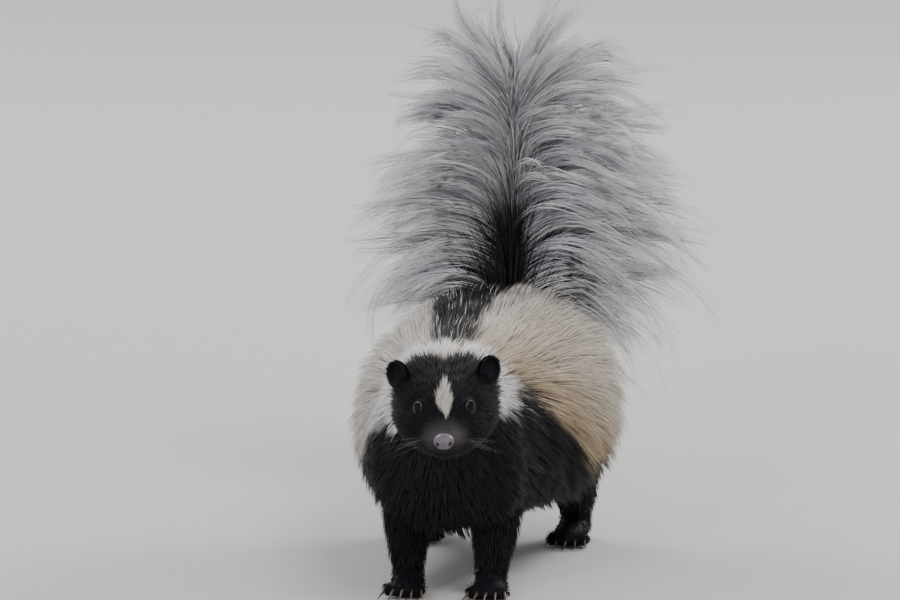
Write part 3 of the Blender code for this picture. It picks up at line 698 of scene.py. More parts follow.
@dataclass
class Markings:
    """Where the coat is white, as a function of place, shared by the skin and the hair.

    Rows of spine hold a place along Y, the middle of the black stripe on the back and half its
    width. Those of the two edges hold a place along Y and the height where that flank turns
    black. Those of blaze hold a distance behind the nose and half the width of the diamond on
    the forehead, and those of nape_edge a distance from the head's middle plane and how far
    behind the nose the white of the nape starts. blaze_shift is how far to the left the front
    of the diamond lies, and muzzle_grey is the whiteness of the muzzle. The crown's whiteness is
    painted light: a little whiteness over the upper head, so that it reads as lit from above
    and the jaw below stays darker.
    """

    head: Head
    spine: Rows = (
        (-0.100, 0.000, -0.002), (-0.086, -0.001, 0.004), (-0.020, -0.010, 0.011),
        (0.056, -0.015, 0.020), (0.100, -0.015, 0.020), (0.140, -0.008, 0.013),
        (0.166, -0.002, 0.012),
    )
    left_edge: Rows = (
        (-0.125, 0.136), (-0.090, 0.137), (-0.060, 0.131), (-0.030, 0.108), (0.000, 0.093),
        (0.045, 0.086), (0.100, 0.088), (0.150, 0.108),
    )
    right_edge: Rows = (
        (-0.125, 0.122), (-0.090, 0.112), (-0.030, 0.096), (0.000, 0.092), (0.045, 0.090),
        (0.100, 0.093), (0.150, 0.112),
    )
    blaze: Rows = (
        (0.0200, 0.0), (0.0240, 0.0019), (0.0300, 0.0043), (0.0350, 0.0033), (0.0400, 0.0012),
        (0.0450, 0.0),
    )
    blaze_shift: float = 0.0013
    nape_edge: Rows = (
        (0.0, 0.065), (0.004, 0.070), (0.012, 0.083), (0.030, 0.086), (0.038, 0.072),
        (0.060, 0.068),
    )
    muzzle_grey: float = 0.065
    crown_grey: float = 0.0095

    def on_trunk(self, points: Array) -> tuple[Array, Array]:
        """How white and how tan the trunk and neck are at their places.

        A black stripe runs along the spine, narrow between the shoulders and broad at the
        tail. Beside it lie two white stripes that reach down the flanks to a height which
        falls from the neck to the belly. The left one is tan low down, less so at the rump.

        Args:
            points: Places on the trunk or neck.

        Returns:
            The whiteness and the warmth of each, from 0 to 1.
        """
        x, y, z = np.moveaxis(points, -1, 0)
        uneven = waves(points, 0.035, 3)
        middle, half = np.moveaxis(along(self.spine, y), -1, 0)
        half = half + 0.0025 * uneven * ramp(y, -0.08, -0.02)
        off_spine = ramp(np.abs(x - middle), half - 0.003, half + 0.003)
        left, right = along(self.left_edge, y)[..., 0], along(self.right_edge, y)[..., 0]
        lowest = np.where(x > 0, left, right) + 0.005 * uneven
        above = ramp(z, lowest - 0.004, lowest + 0.005)
        low_down = 1 - ramp(z, lowest + 0.004, lowest + 0.042)
        warm = ramp(x, -0.015, 0.035) * (0.40 + 0.60 * low_down)
        warm = warm * ramp(y, -0.115, -0.075) * (1 - 0.60 * ramp(y, -0.01, 0.07))
        return off_spine * above, warm

    def on_head(self, points: Array) -> tuple[Array, Array]:
        """How white and how tan the head is at its places.

        A narrow diamond runs from between the eyes up the forehead, and the nape is white
        from a point between the ears backwards. The muzzle is a little grey. The upper head gets a
        little painted light, a touch lighter than the jaw, as if lit from above.

        Args:
            points: Places on the head.

        Returns:
            The whiteness and the warmth of each, from 0 to 1.
        """
        x, back, up = np.moveaxis(carried(points, self.head.matrix().inverted()), -1, 0)
        half = along(self.blaze, back)[..., 0] + 0.0006 * waves(points, 0.008, 5)
        off_middle = np.abs(x - self.blaze_shift * (1 - ramp(back, 0.020, 0.038)))
        diamond = 1 - ramp(off_middle, half - 0.0004, half + 0.0009)
        diamond *= (back > 0.0200) & (back < 0.044) & (up > 0)
        edge = along(self.nape_edge, np.abs(x))[..., 0] + 0.002 * waves(points, 0.012, 6)
        nape = ramp(back, edge - 0.002, edge + 0.003) * ramp(up, 0.000, 0.010)
        muzzle = self.muzzle_grey * (1 - ramp(back, 0.014, 0.024)) * ramp(up, -0.010, 0.000)
        # Painted light: the upper head a touch lighter than the jaw, as if lit from above.
        crown = self.crown_grey * ramp(up, -0.016, 0.004)
        return np.max([diamond, nape, muzzle, crown], axis=0), np.zeros_like(x)


@dataclass
class Strands:
    """Tapered hairs, each a closed three-sided spike along its own line.

    lines holds each hair's points from root to tip, outs its outward direction, widths its
    greatest width, and white, warm and shade its tones. white is one number a hair, or one for
    each point of its line. roots_uv is each root's place on the unwrap of the skin.
    """

    ROOT_WIDTH: ClassVar[float] = 0.55
    WIDEST: ClassVar[float] = 0.25
    TAPER: ClassVar[float] = 0.88
    RIDGE: ClassVar[float] = 0.8
    MAP_SQUARE: ClassVar[float] = 0.003

    lines: Array
    outs: Array
    widths: Array
    white: Array
    warm: Array
    shade: Array
    roots_uv: Array

    @property
    def rings(self) -> int:
        """How many rings of three points each hair has before its tip."""
        return self.lines.shape[1] - 1

    def part(self, keep: Array) -> Strands:
        """The hairs that an index or mask picks."""
        return Strands(*(getattr(self, each.name)[keep] for each in fields(self)))

    def points(self) -> Array:
        """Points of every hair, by hair.

        Each ring is a triangle: two corners across the hair, set apart by a width that swells
        over the first quarter and tapers to the tip, and a ridge above them. The last point of
        the line is the tip.

        Returns:
            An array of hairs by their points by X, Y and Z.
        """
        step = np.linspace(0, 1, self.rings + 1)[:-1]
        heading = unit(np.gradient(self.lines, axis=1)[:, :-1])
        across = unit(np.cross(heading, self.outs[:, None, :]))
        ridge = np.cross(across, heading)
        swell = self.ROOT_WIDTH + (1 - self.ROOT_WIDTH) * np.clip(step / self.WIDEST, 0, 1)
        half = (0.5 * self.widths[:, None] * (swell * (1 - self.TAPER * step**1.8)))[..., None]
        base = self.lines[:, :-1]
        corners = [base - across * half, base + across * half, base + ridge * half * self.RIDGE]
        rings = np.stack(corners, axis=2).reshape(len(base), -1, 3)
        return np.concatenate([rings, self.lines[:, -1:]], axis=1)

    def triangles(self) -> Array:
        """The triangles of every hair: a cap at the root, two for each side, three at the tip.

        Returns:
            Three point numbers for each triangle, by hair.
        """
        quads = ring_quads(self.rings, 3)
        last = np.arange(3) + 3 * (self.rings - 1)
        one = np.vstack([
            [[0, 1, 2]],
            quads[:, [0, 2, 1, 0, 3, 2]].reshape(-1, 3),
            np.stack([np.roll(last, -1), last, np.full(3, 3 * self.rings)], axis=-1),
        ])
        starts = np.arange(len(self.lines)) * (3 * self.rings + 1)
        return (one[None] + starts[:, None, None]).reshape(-1, 3)

    def spread(self, tone: Array) -> Array:
        """Spreads a tone over the points of every hair.

        Args:
            tone: One number a hair, or one for each point of its line.

        Returns:
            One number a point.
        """
        if tone.ndim == 1:
            return np.repeat(tone, 3 * self.rings + 1)
        return np.concatenate([np.repeat(tone[:, :-1], 3, axis=1), tone[:, -1:]], axis=1).ravel()

    def build(self, name: str, shift: Array) -> bpy.types.Object:
        """Makes the mesh object, with its tones and its map for baking.

        On the map each hair covers a small square at its root's place: X runs across the hair
        and Y along it.

        Args:
            name: The object's name.
            shift: What is added to every point to bring it to the part's frame.

        Returns:
            The object, at the origin.
        """
        triangles = self.triangles()
        mesh = new_mesh(name, self.points().reshape(-1, 3) + shift, [triangles])
        step = np.append(np.repeat(np.linspace(0, 1, self.rings + 1)[:-1], 3), 1.0)
        across = np.append(np.tile([-0.5, 0.5, 0.0], self.rings), 0.0)
        set_tones(mesh, {
            "fur_white": self.spread(self.white),
            "fur_warm": self.spread(self.warm),
            "fur_shade": self.spread(self.shade),
            "fur_along": np.tile(step, len(self.lines)),
        })
        square = self.MAP_SQUARE * np.stack([across, step - 0.5], axis=-1)
        places = (self.roots_uv[:, None, :] + square[None]).reshape(-1, 2)
        layer = mesh.uv_layers.new(name="OFBake")
        layer.data.foreach_set("uv", places[triangles.ravel()].astype(np.float32).ravel())
        mesh.shade_smooth()
        return linked(name, mesh)


def hair_lines(
    root: Array, first: Array, last: Array, length: Array, steps: int, bow: float = 1.0
) -> Array:
    """Lines that leave their roots one way and turn evenly to another.

    Each of the steps heads along a mix of the first and last directions, and the points are
    the running sum of the steps.

    Args:
        root: Where each line starts.
        first: The direction it leaves in.
        last: The direction it ends in.
        length: Its length.
        steps: How many straight pieces it has.
        bow: Above 1 it turns late, below 1 early.

    Returns:
        Points for each line, one more than its pieces.
    """
    part = (((np.arange(steps) + 0.5) / steps) ** bow)[None, :, None]
    heading = unit((1 - part) * first[:, None] + part * last[:, None])
    run = np.cumsum(heading * (length / steps)[:, None, None], axis=1)
    return np.concatenate([root[:, None], root[:, None] + run], axis=1)


def gathered(lines: Array, leaders: Array, pull: Array) -> Array:
    """Lines drawn to their leaders' lines, more and more from root to tip, by a pull each."""
    step = np.linspace(0, 1, lines.shape[1])[None, :, None]
    return lines + (leaders - lines) * pull[:, None, None] * step**1.4


@dataclass
class Clumps:
    """Cells over a surface's u and v, each with one leader that its hairs are drawn to."""

    rows: int
    columns: int
    rng: np.random.Generator

    @property
    def cells(self) -> int:
        """How many cells there are."""
        return self.rows * self.columns

    def leader(self, u: Array, v: Array) -> tuple[Array, Array, Array]:
        """The leader of each place, with every other row of cells set off by half a cell.

        Args:
            u: The places' u.
            v: The places' v.

        Returns:
            The leader's u and v, and the cell's number.
        """
        row = np.clip((u * self.rows).astype(int), 0, self.rows - 1)
        turned = (v + 0.5 / self.columns * (row % 2)) % 1.0
        column = np.clip((turned * self.columns).astype(int), 0, self.columns - 1)
        shift = self.rng.uniform(0.2, 0.8, (2, self.rows, self.columns))
        lead_u = (row + shift[0][row, column]) / self.rows
        lead_v = (column + shift[1][row, column] - 0.5 * (row % 2)) / self.columns
        return lead_u, lead_v % 1.0, row * self.columns + column


class Patch(Enum):
    """Each surface's corner and size on the unwrap of the skin."""

    TRUNK = (0.01, 0.01, 0.55, 0.62)
    NECK = (0.58, 0.01, 0.12, 0.45)
    HEAD = (0.72, 0.01, 0.26, 0.45)
    TAIL = (0.01, 0.66, 0.40, 0.32)
    FORELEG_LEFT = (0.43, 0.66, 0.12, 0.15)
    FORELEG_RIGHT = (0.43, 0.83, 0.12, 0.15)
    HINDLEG_LEFT = (0.57, 0.66, 0.12, 0.15)
    HINDLEG_RIGHT = (0.57, 0.83, 0.12, 0.15)
    EARS = (0.72, 0.50, 0.12, 0.12)
    FEET = (0.72, 0.66, 0.26, 0.30)

    def uv(self, u: Array, v: Array) -> Array:
        """The place of u and v on the unwrap."""
        left, low, wide, high = self.value
        return np.stack([left + wide * (v % 1.0), low + high * u], axis=-1)


@dataclass(frozen=True)
class Foot:
    """The plan of a foot: where its leg ends, its size, its heel and the reach of its claws.

    toe_gap is the toes' spacing as a share of the width, and toe_line where they start as a
    share of the length. Each toe is given by how many places it lies from the middle one.
    """

    ankle: Place
    length: float
    width: float
    heel: float
    claw: float
    toe_gap: float = 0.205
    toe_line: float = 0.80
    toes: tuple[float, ...] = (-2.0, -1.0, 0.0, 1.0, 2.0)

    def toe_middle(self, side: Side, toe: float) -> float:
        """How far along X a toe lies."""
        return self.ankle[0] * side + toe * self.width * self.toe_gap

    def toe_reach(self, toe: float) -> float:
        """How far a toe reaches forwards from the toe line: most for the middle one."""
        return self.length * (0.16 - 0.028 * abs(toe))

    def eggs(self, side: Side) -> list[Egg]:
        """The palm, the ankle and the toes as ellipsoids.

        Args:
            side: The foot's side.

        Returns:
            The ellipsoids.
        """
        length, width, middle = self.length, self.width, self.ankle[0] * side
        palm_size = (width * 0.42, length * 0.48, 0.0078)
        ankle_size = (width * 0.40, width * 0.40, 0.0115)
        made = [
            Egg((middle, self.heel - length * 0.45, 0.0080), palm_size),
            Egg((middle, self.ankle[1], 0.0125), ankle_size),
        ]
        for toe in self.toes:
            place = (self.toe_middle(side, toe), self.heel - length * self.toe_line, 0.0055)
            made.append(Egg(place, (width * 0.125, self.toe_reach(toe) + 0.003, 0.0050)))
        return made


@dataclass
class Animal:
    """The animal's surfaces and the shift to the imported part's frame."""

    head: Head = field(default_factory=Head)
    trunk: Trunk = field(default_factory=Trunk)
    foreleg_joints: tuple[Place, Place, Place] = (
        (0.027, -0.075, 0.082), (0.029, -0.082, 0.052), (0.028, -0.089, 0.0222),
    )
    foreleg_radii: tuple[float, float, float] = (0.0185, 0.0165, 0.0125)
    hindleg_joints: tuple[Place, Place, Place] = (
        (0.038, 0.094, 0.084), (0.048, 0.108, 0.050), (0.050, 0.122, 0.0222),
    )
    hindleg_radii: tuple[float, float, float] = (0.0290, 0.0200, 0.0130)
    tail_joints: tuple[Place, Place, Place] = (
        (0.0, 0.140, 0.128), (-0.004, 0.190, 0.205), (-0.002, 0.176, 0.306),
    )
    tail_radii: tuple[float, float, float] = (0.0130, 0.0095, 0.0055)

    def shift(self) -> Array:
        """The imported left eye's middle less the same eye's middle in the animal's frame."""
        low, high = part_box("eye_left")
        return np.array((low + high) / 2 - self.head.eye_matrix(Side.LEFT).translation)

    def neck(self) -> Neck:
        """The neck's surface."""
        return Neck(self.trunk, self.head)

    def leg(self, pair: Pair, side: Side) -> Limb:
        """One leg's surface.

        Args:
            pair: Fore or hind.
            side: The leg's side.

        Returns:
            The limb.
        """
        if pair is Pair.FORE:
            return Limb(self.foreleg_joints, self.foreleg_radii, side)
        return Limb(self.hindleg_joints, self.hindleg_radii, side)

    def foot(self, pair: Pair) -> Foot:
        """The plan of one pair's feet.

        Args:
            pair: Fore or hind.

        Returns:
            The plan, the same on both sides.
        """
        if pair is Pair.FORE:
            return Foot(self.foreleg_joints[-1], 0.034, 0.026, -0.077, 0.0150)
        return Foot(self.hindleg_joints[-1], 0.058, 0.027, 0.136, 0.0085)

    def feet(self) -> list[Egg]:
        """The ellipsoids of all four feet."""
        return [egg for side in Side for pair in Pair for egg in self.foot(pair).eggs(side)]

    def dock(self) -> Limb:
        """The bony tail's surface."""
        return Limb(self.tail_joints, self.tail_radii, fur=0.0)


@dataclass
class WispyCoat:
    """A coat in wisps that overlap: each hair is drawn towards the leader of its cell.

    sunk is how deep the roots lie in the skin, loose how much of its own standing out a hair
    keeps beyond its share of the coat's depth, rows and columns the numbers of cells along and
    round the surface, and pull the least and the most that a hair is drawn.
    """

    animal: Animal
    markings: Markings
    count: int
    length: float
    width: float
    loose: float
    rows: int
    columns: int
    pull: tuple[float, float]
    patch: Patch
    seed: int
    steps: int = 3
    sunk: float = 0.001

    def surface(self) -> Surface:
        """The skin that the coat grows on."""
        raise NotImplementedError

    def lay(self, u: Array, v: Array, shade: Array) -> tuple[Array, Array]:
        """Lines of hair, each coat by its own formula.

        Args:
            u: The roots' places along the surface.
            v: The roots' places round it.
            shade: How long and how raised each hair is, from 0 to 1.

        Returns:
            The lines and the outward directions at their roots.
        """
        raise NotImplementedError

    def marks(self, root: Array, stray: Array) -> tuple[Array, Array]:
        """The hairs' marks.

        Args:
            root: The hairs' roots.
            stray: A draw from 0 to 1 for each hair.

        Returns:
            The whiteness and the warmth of each hair.
        """
        raise NotImplementedError

    def strands(self) -> Strands:
        """Scatters, lays, gathers and colours the hair.

        Returns:
            Every hair of the coat.
        """
        rng = np.random.default_rng(self.seed)
        surface = self.surface()
        u, v = surface.scatter(self.count, rng)
        clumps = Clumps(self.rows, self.columns, rng)
        lead_u, lead_v, cell = clumps.leader(u, v)
        cell_shade = rng.uniform(0, 1, clumps.cells)[cell]
        shade = 0.6 * cell_shade + 0.4 * rng.uniform(0, 1, self.count)
        lines, out = self.lay(u, v, shade)
        leaders, _ = self.lay(lead_u, lead_v, cell_shade)
        lines = gathered(lines, leaders, rng.uniform(*self.pull, self.count))
        white, warm = self.marks(surface.at(u, v), rng.uniform(0, 1, self.count))
        widths = self.width * rng.uniform(0.7, 1.25, self.count)
        tone = rng.uniform(0, 1, self.count)
        return Strands(lines, out, widths, white, warm, tone, self.patch.uv(u, v))


@dataclass
class TrunkCoat(WispyCoat):
    """The long coat of the trunk, which lies back and down.

    full_depth is the depth of coat at which its hair is longest, tip_share the share of the
    coat's depth that the tips reach, and pieces the number of pieces that it is made in.
    """

    count: int = 33000
    length: float = 0.052
    width: float = 0.00076
    loose: float = 0.58
    rows: int = 38
    columns: int = 60
    pull: tuple[float, float] = (0.05, 0.72)
    patch: Patch = Patch.TRUNK
    seed: int = 31
    full_depth: float = 0.036
    tip_share: float = 0.93
    white_strays: float = 0.10
    black_strays: float = 0.018
    pieces: int = 4

    def surface(self) -> Trunk:
        """The trunk's skin."""
        return self.animal.trunk

    def lay(self, u: Array, v: Array, shade: Array) -> tuple[Array, Array]:
        """The hair runs backwards and, down the flanks, more and more downwards.

        Over the rump it falls. It is held out from the flesh by a share of the coat's depth
        that grows to the tip.
        """
        trunk = self.surface()
        root, out = trunk.at(u, v), trunk.out(u, v)
        side, zero = out[:, 0], np.zeros(len(out))
        rump = np.clip(out[:, 1], 0, 1)[:, None]
        lie = np.stack([0.10 * side, zero + 1, -0.10 - 0.75 * np.abs(side) ** 1.5], axis=-1)
        fall = np.stack([0.45 * side, zero + 0.55, zero - 1.0], axis=-1)
        lie = unit(lie * (1 - rump) + fall * rump)
        swirl = waves(root, 0.05, 11)[:, None] * np.cross(out, lie) * 0.16
        lie = unit(lie + swirl)
        flat = in_surface(lie, out)
        first = lifted(flat, out, 42 + 22 * (shade - 0.5) + 13 * ramp(out[:, 2], 0.3, 0.8))
        last = unit(0.55 * lie + 0.45 * flat - 0.10 * UP)
        depth = np.clip(along(trunk.coat, root[:, 1])[:, 0] / self.full_depth, 0, 1)
        under = ramp(-out[:, 2], 0.35, 0.8)
        length = self.length * (0.62 + 0.38 * depth) * (0.80 + 0.35 * shade)
        length = length * (1 - 0.5 * under) * (1 - 0.35 * rump[:, 0])
        lines = hair_lines(root - out * self.sunk, first, last, length, self.steps)
        step = np.linspace(0, 1, self.steps + 1)[None, :]
        reach = (self.tip_share - trunk.share) * step**0.8 * (0.62 + 0.40 * shade)[:, None]
        share = trunk.share + reach
        lines[:, 1:] = trunk.held_out(lines[:, 1:], share[:, 1:], self.loose)
        return lines, out

    def marks(self, root: Array, stray: Array) -> tuple[Array, Array]:
        """The trunk's marks, with strays: black hairs in the white, white ones on the back."""
        white, warm = self.markings.on_trunk(root)
        on_back = self.white_strays * ramp(root[:, 2], 0.12, 0.15)
        mixed = np.where(white > 0.5, self.black_strays, on_back)
        return np.where(stray < mixed, 1 - white, white), warm


@dataclass
class NeckCoat(WispyCoat):
    """The shorter coat of the neck, which lies back over the trunk's.

    Above the height head_marks_above the head's marks count as well.
    """

    count: int = 7000
    length: float = 0.030
    width: float = 0.0008
    loose: float = 0.6
    rows: int = 9
    columns: int = 34
    pull: tuple[float, float] = (0.2, 0.7)
    patch: Patch = Patch.NECK
    seed: int = 37
    head_marks_above: float = 0.135
    black_strays: float = 0.04

    def surface(self) -> Neck:
        """The neck's skin."""
        return self.animal.neck()

    def lay(self, u: Array, v: Array, shade: Array) -> tuple[Array, Array]:
        """The hair lies backwards, and down at the sides, shorter towards the head."""
        neck = self.surface()
        root, out = neck.at(u, v), neck.out(u, v)
        side = out[:, 0]
        lie = np.stack([0.10 * side, np.ones_like(side), -0.12 - 0.6 * np.abs(side)], axis=-1)
        lie = unit(lie)
        flat = in_surface(lie, out)
        first = lifted(flat, out, 44 + 10 * (shade - 0.5) - 16 * u)
        last = unit(0.5 * lie + 0.5 * flat)
        under = ramp(-out[:, 2], 0.3, 0.8)
        length = self.length * (1.15 - 0.45 * u) * (0.8 + 0.4 * shade) * (1 - 0.35 * under)
        lines = hair_lines(root - out * self.sunk, first, last, length, self.steps)
        step = np.linspace(0, 1, self.steps + 1)[None, :]
        share = (0.55 + 0.45 * step) * (0.85 + 0.2 * shade)[:, None]
        lines[:, 1:] = self.animal.trunk.held_out(lines[:, 1:], share[:, 1:], self.loose)
        return lines, out

    def marks(self, root: Array, stray: Array) -> tuple[Array, Array]:
        """The marks of the trunk and, high up, of the head, with black strays in the white."""
        white, warm = self.markings.on_trunk(root)
        on_head, _ = self.markings.on_head(root)
        white = np.maximum(white, on_head * (root[:, 2] > self.head_marks_above))
        return np.where((stray < self.black_strays) & (white > 0.5), 1 - white, white), warm


@dataclass
class HeadCoat:
    """The short coat of the head: it lies back from the nose, longer and wider behind.

    Rows of lengths and widths hold a distance behind the nose and the hair's size there. eye_rim
    holds the distances from an eye's middle at which the coat starts and is full.
    """

    animal: Animal
    markings: Markings
    count: int = 19000
    steps: int = 2
    seed: int = 41
    sunk: float = 0.0004
    lengths: Rows = (
        (0.0045, 0.0016), (0.016, 0.0028), (0.030, 0.0060), (0.050, 0.0105), (0.070, 0.0145),
        (0.086, 0.0180),
    )
    widths: Rows = ((0.0045, 0.00026), (0.030, 0.00038), (0.060, 0.00055), (0.086, 0.00075))
    eye_rim: tuple[float, float] = (0.0054, 0.0068)

    def weight(self, u: Array, v: Array) -> Array:
        """Dense on the short-haired muzzle, thinner behind, and bare round the eyes and nose.

        Args:
            u: Places along the head.
            v: Places round it.

        Returns:
            How dense the hair is at each place.
        """
        head = self.animal.head
        local = head.local(u, v)
        back = local[..., 1]
        dense = 2.6 - 1.8 * ramp(back, 0.01, 0.06)
        bare = ramp(back, 0.0075, 0.011)
        for side in reversed(Side):
            gap = np.linalg.norm(local - np.array(head.eye_place) * [side, 1, 1], axis=-1)
            bare = bare * ramp(gap, *self.eye_rim)
        return dense * bare

    def strands(self) -> Strands:
        """The hair lies back and down the cheeks, and stands up more on the crown and nape.

        Returns:
            Every hair of the head.
        """
        rng = np.random.default_rng(self.seed)
        head = self.animal.head
        u, v = head.scatter(self.count, rng, self.weight)
        root, out = head.at(u, v), head.out(u, v)
        local = head.local(u, v)
        rotation = np.array(head.matrix().to_3x3())
        side = out @ rotation[:, 0]
        below = ramp(-(out @ rotation[:, 2]), -0.2, 0.7)
        down = -0.25 * np.abs(side) - 0.05 + 0.1 * below
        lie = np.stack([0.30 * side, np.ones_like(side), down], axis=-1)
        lie = unit(lie + rng.normal(0, 0.07, lie.shape)) @ rotation.T
        flat = in_surface(lie, out)
        shade = rng.uniform(0, 1, self.count)
        crown = ramp(local[:, 1], 0.050, 0.074) * ramp(local[:, 2], 0.005, 0.020)
        first = lifted(flat, out, 24 + 14 * shade + 26 * crown)
        last = unit(flat + (0.15 + 0.55 * crown)[:, None] * out)
        length = along(self.lengths, local[:, 1])[:, 0] * (0.75 + 0.5 * shade)
        lines = hair_lines(root - out * self.sunk, first, last, length, self.steps)
        white, warm = self.markings.on_head(root)
        widths = along(self.widths, local[:, 1])[:, 0] * rng.uniform(0.8, 1.25, self.count)
        tone = rng.uniform(0, 1, self.count)
        return Strands(lines, out, widths, white, warm, tone, Patch.HEAD.uv(u, v))


@dataclass
class LegCoat:
    """The black coat of one leg, which lies down along it and ends above the floor."""

    animal: Animal
    pair: Pair
    side: Side
    count: int = 2700
    steps: int = 2
    length: float = 0.017
    width: float = 0.0008
    sunk: float = 0.0008
    clearance: float = 0.002
    seed: int = 102

    def strands(self) -> Strands:
        """The hair lies down along the leg, shorter towards the foot.

        Returns:
            Every hair of the leg.
        """
        rng = np.random.default_rng(self.seed + self.side)
        limb = self.animal.leg(self.pair, self.side)
        u, v = limb.scatter(self.count, rng)
        root, out = limb.at(u, v), limb.out(u, v)
        down = limb.heading(u) + np.array([0, 0.15, 0])
        down = unit(down + rng.normal(0, 0.08, down.shape))
        flat = in_surface(down, out)
        shade = rng.uniform(0, 1, self.count)
        first = lifted(flat, out, 22 + 10 * shade)
        length = self.length * (1.1 - 0.55 * u) * (0.75 + 0.45 * shade)
        room = np.maximum(root[:, 2] - self.clearance, self.clearance)
        length = np.minimum(length, room)
        last = unit(flat + 0.1 * out)
        lines = hair_lines(root - out * self.sunk, first, last, length, self.steps)
        patch = Patch[f"{self.pair.value}leg_{self.side.word}".upper()]
        zero = np.zeros(self.count)
        widths = self.width * rng.uniform(0.7, 1.2, self.count)
        return Strands(lines, out, widths, zero, zero, shade, patch.uv(u, v))


@dataclass
class TailHair:
    """The tail's long hair: it rises along the bony tail, arches out and droops.

    right_share is the length of the hair on the right against that on the left, first_root the
    lowest root's place along the bony tail.
    """

    animal: Animal
    count: int = 9500
    steps: int = 8
    length: float = 0.168
    right_share: float = 0.86
    width: float = 0.00072
    first_root: float = 0.06
    rows: int = 26
    columns: int = 16
    pull: tuple[float, float] = (0.52, 0.98)
    core_count: int = 3000
    core_steps: int = 4
    core_width: float = 0.0011
    core_sunk: float = 0.001
    seed: int = 61

    def lay(self, u: Array, v: Array, shade: Array, spread: Array) -> tuple[Array, Array]:
        """Lines of hair from the bony tail.

        A hair leaves almost along the tail and turns outwards until it hangs, low on the tail,
        or lies level near the tip. It is swept to the nearer side, most of all low on the tail,
        and high up some hairs cross to the other side. Hair that points forwards is shorter
        and calmer. No hair falls below the coat of the trunk.

        Args:
            u: The roots' places along the tail.
            v: The roots' places round it.
            shade: How long each hair is, from 0 to 1.
            spread: How far each turns, from 0 to 1.

        Returns:
            The lines and the directions in which they arch.
        """
        dock = self.animal.dock()
        root, heading = dock.at(u, v), dock.heading(u)
        radial = unit(root - dock.line(u))
        crossing = 1.1 * (spread - 0.5) * ramp(u, 0.30, 0.55)
        side = np.where(radial[:, 0] + crossing > 0, 1.0, -1.0)
        swept = side * (1.15 - 0.80 * ramp(u, 0.50, 1.0))
        out = unit(radial * [1.0, 0.60, 0.0] + swept[:, None] * [1.0, 0.0, 0.0])
        toward = np.clip(-out[:, 1], 0, 1)
        loose = 1 - 0.75 * ramp(toward, 0.08, 0.35)
        first = lifted(heading, unit(radial + 1.2 * out), 60 - 44 * u + 32 * (spread - 0.5))
        droop = 138 - 10 * u - 62 * ramp(u, 0.70, 1.0) - 50 * toward * ramp(u, 0.15, 0.40)
        last = lifted(UP, out, droop + 56 * loose * (spread - 0.5))
        short = self.right_share + (1.02 - self.right_share) * ramp(u, 0.65, 0.95)
        reach = np.where(side > 0, 1.03, short) * (1 - 0.36 * np.abs(out[:, 1]) - 0.28 * toward)
        length = self.length * reach * (0.70 + 0.34 * shade) * (1 - 0.46 * u**2)
        length = length * (0.74 + 0.26 * ramp(u, 0.06, 0.35))
        lines = hair_lines(root, first, last, length, self.steps, bow=1.05)
        step = np.linspace(0, 1, self.steps + 1)[None, :, None]
        sway = np.sin(5.0 * step + 6 * spread[:, None, None]) * step**1.5 * 0.013
        lines = lines + self.wander(u, v)[:, None, :] * (sway * loose[:, None, None])
        share = np.broadcast_to(0.30 + 0.75 * step[..., 0] ** 0.7, lines.shape[:2])
        over = self.animal.trunk.held_out(lines, share, loose=1.0)
        return np.where(lines[..., 2:] < over[..., 2:], over, lines), out

    def wander(self, u: Array, v: Array) -> Array:
        """A direction for each root that changes smoothly over the tail."""
        place = np.stack([np.cos(TURN * v), np.sin(TURN * v), 6 * u], axis=-1)
        return np.stack([waves(place, 1.1, seed) for seed in (7, 8, 9)], axis=-1)

    def strands(self) -> Strands:
        """The long hair: black at its root low on the tail, and silver beyond.

        Returns:
            Every long hair of the tail.
        """
        rng = np.random.default_rng(self.seed)
        u = self.first_root + (1 - self.first_root) * rng.uniform(0, 1, self.count) ** 0.9
        v = rng.uniform(0, 1, self.count)
        clumps = Clumps(self.rows, self.columns, rng)
        lead_u, lead_v, cell = clumps.leader(u, v)
        cell_shade, cell_spread = rng.uniform(0, 1, (2, clumps.cells))[:, cell]
        own_shade, own_spread = rng.uniform(0, 1, (2, self.count))
        shade, spread = 0.6 * cell_shade + 0.4 * own_shade, 0.7 * cell_spread + 0.3 * own_spread
        lines, out = self.lay(u, v, shade, spread)
        lead_u = np.maximum(lead_u, self.first_root)
        leaders, lead_out = self.lay(lead_u, lead_v, cell_shade, cell_spread)
        same_side = lead_out[:, 0] * out[:, 0] > 0
        lines = gathered(lines, leaders, rng.uniform(*self.pull, self.count) * same_side)
        step = np.linspace(0, 1, self.steps + 1)[None, :]
        low = 1 - ramp(u, 0.22, 0.52)
        black = low * rng.uniform(0.12, 0.38, self.count) * np.where(out[:, 0] > 0, 0.45, 1.0)
        black = black + rng.uniform(0.01, 0.06, self.count)
        white = ramp(step - black[:, None], -0.06, 0.10)
        dark = (rng.uniform(0, 1, self.count) < 0.03 + 0.15 * low)[:, None]
        white = np.where(dark, 0.15 * white, white)
        widths = self.width * rng.uniform(0.6, 1.2, self.count)
        cell_tone = rng.uniform(0, 1, clumps.cells)[cell]
        tone = np.clip(0.55 * cell_tone + 0.45 * rng.uniform(0, 1, self.count), 0, 1)
        return Strands(lines, out, widths, white, 0 * tone, tone, Patch.TAIL.uv(u, v))

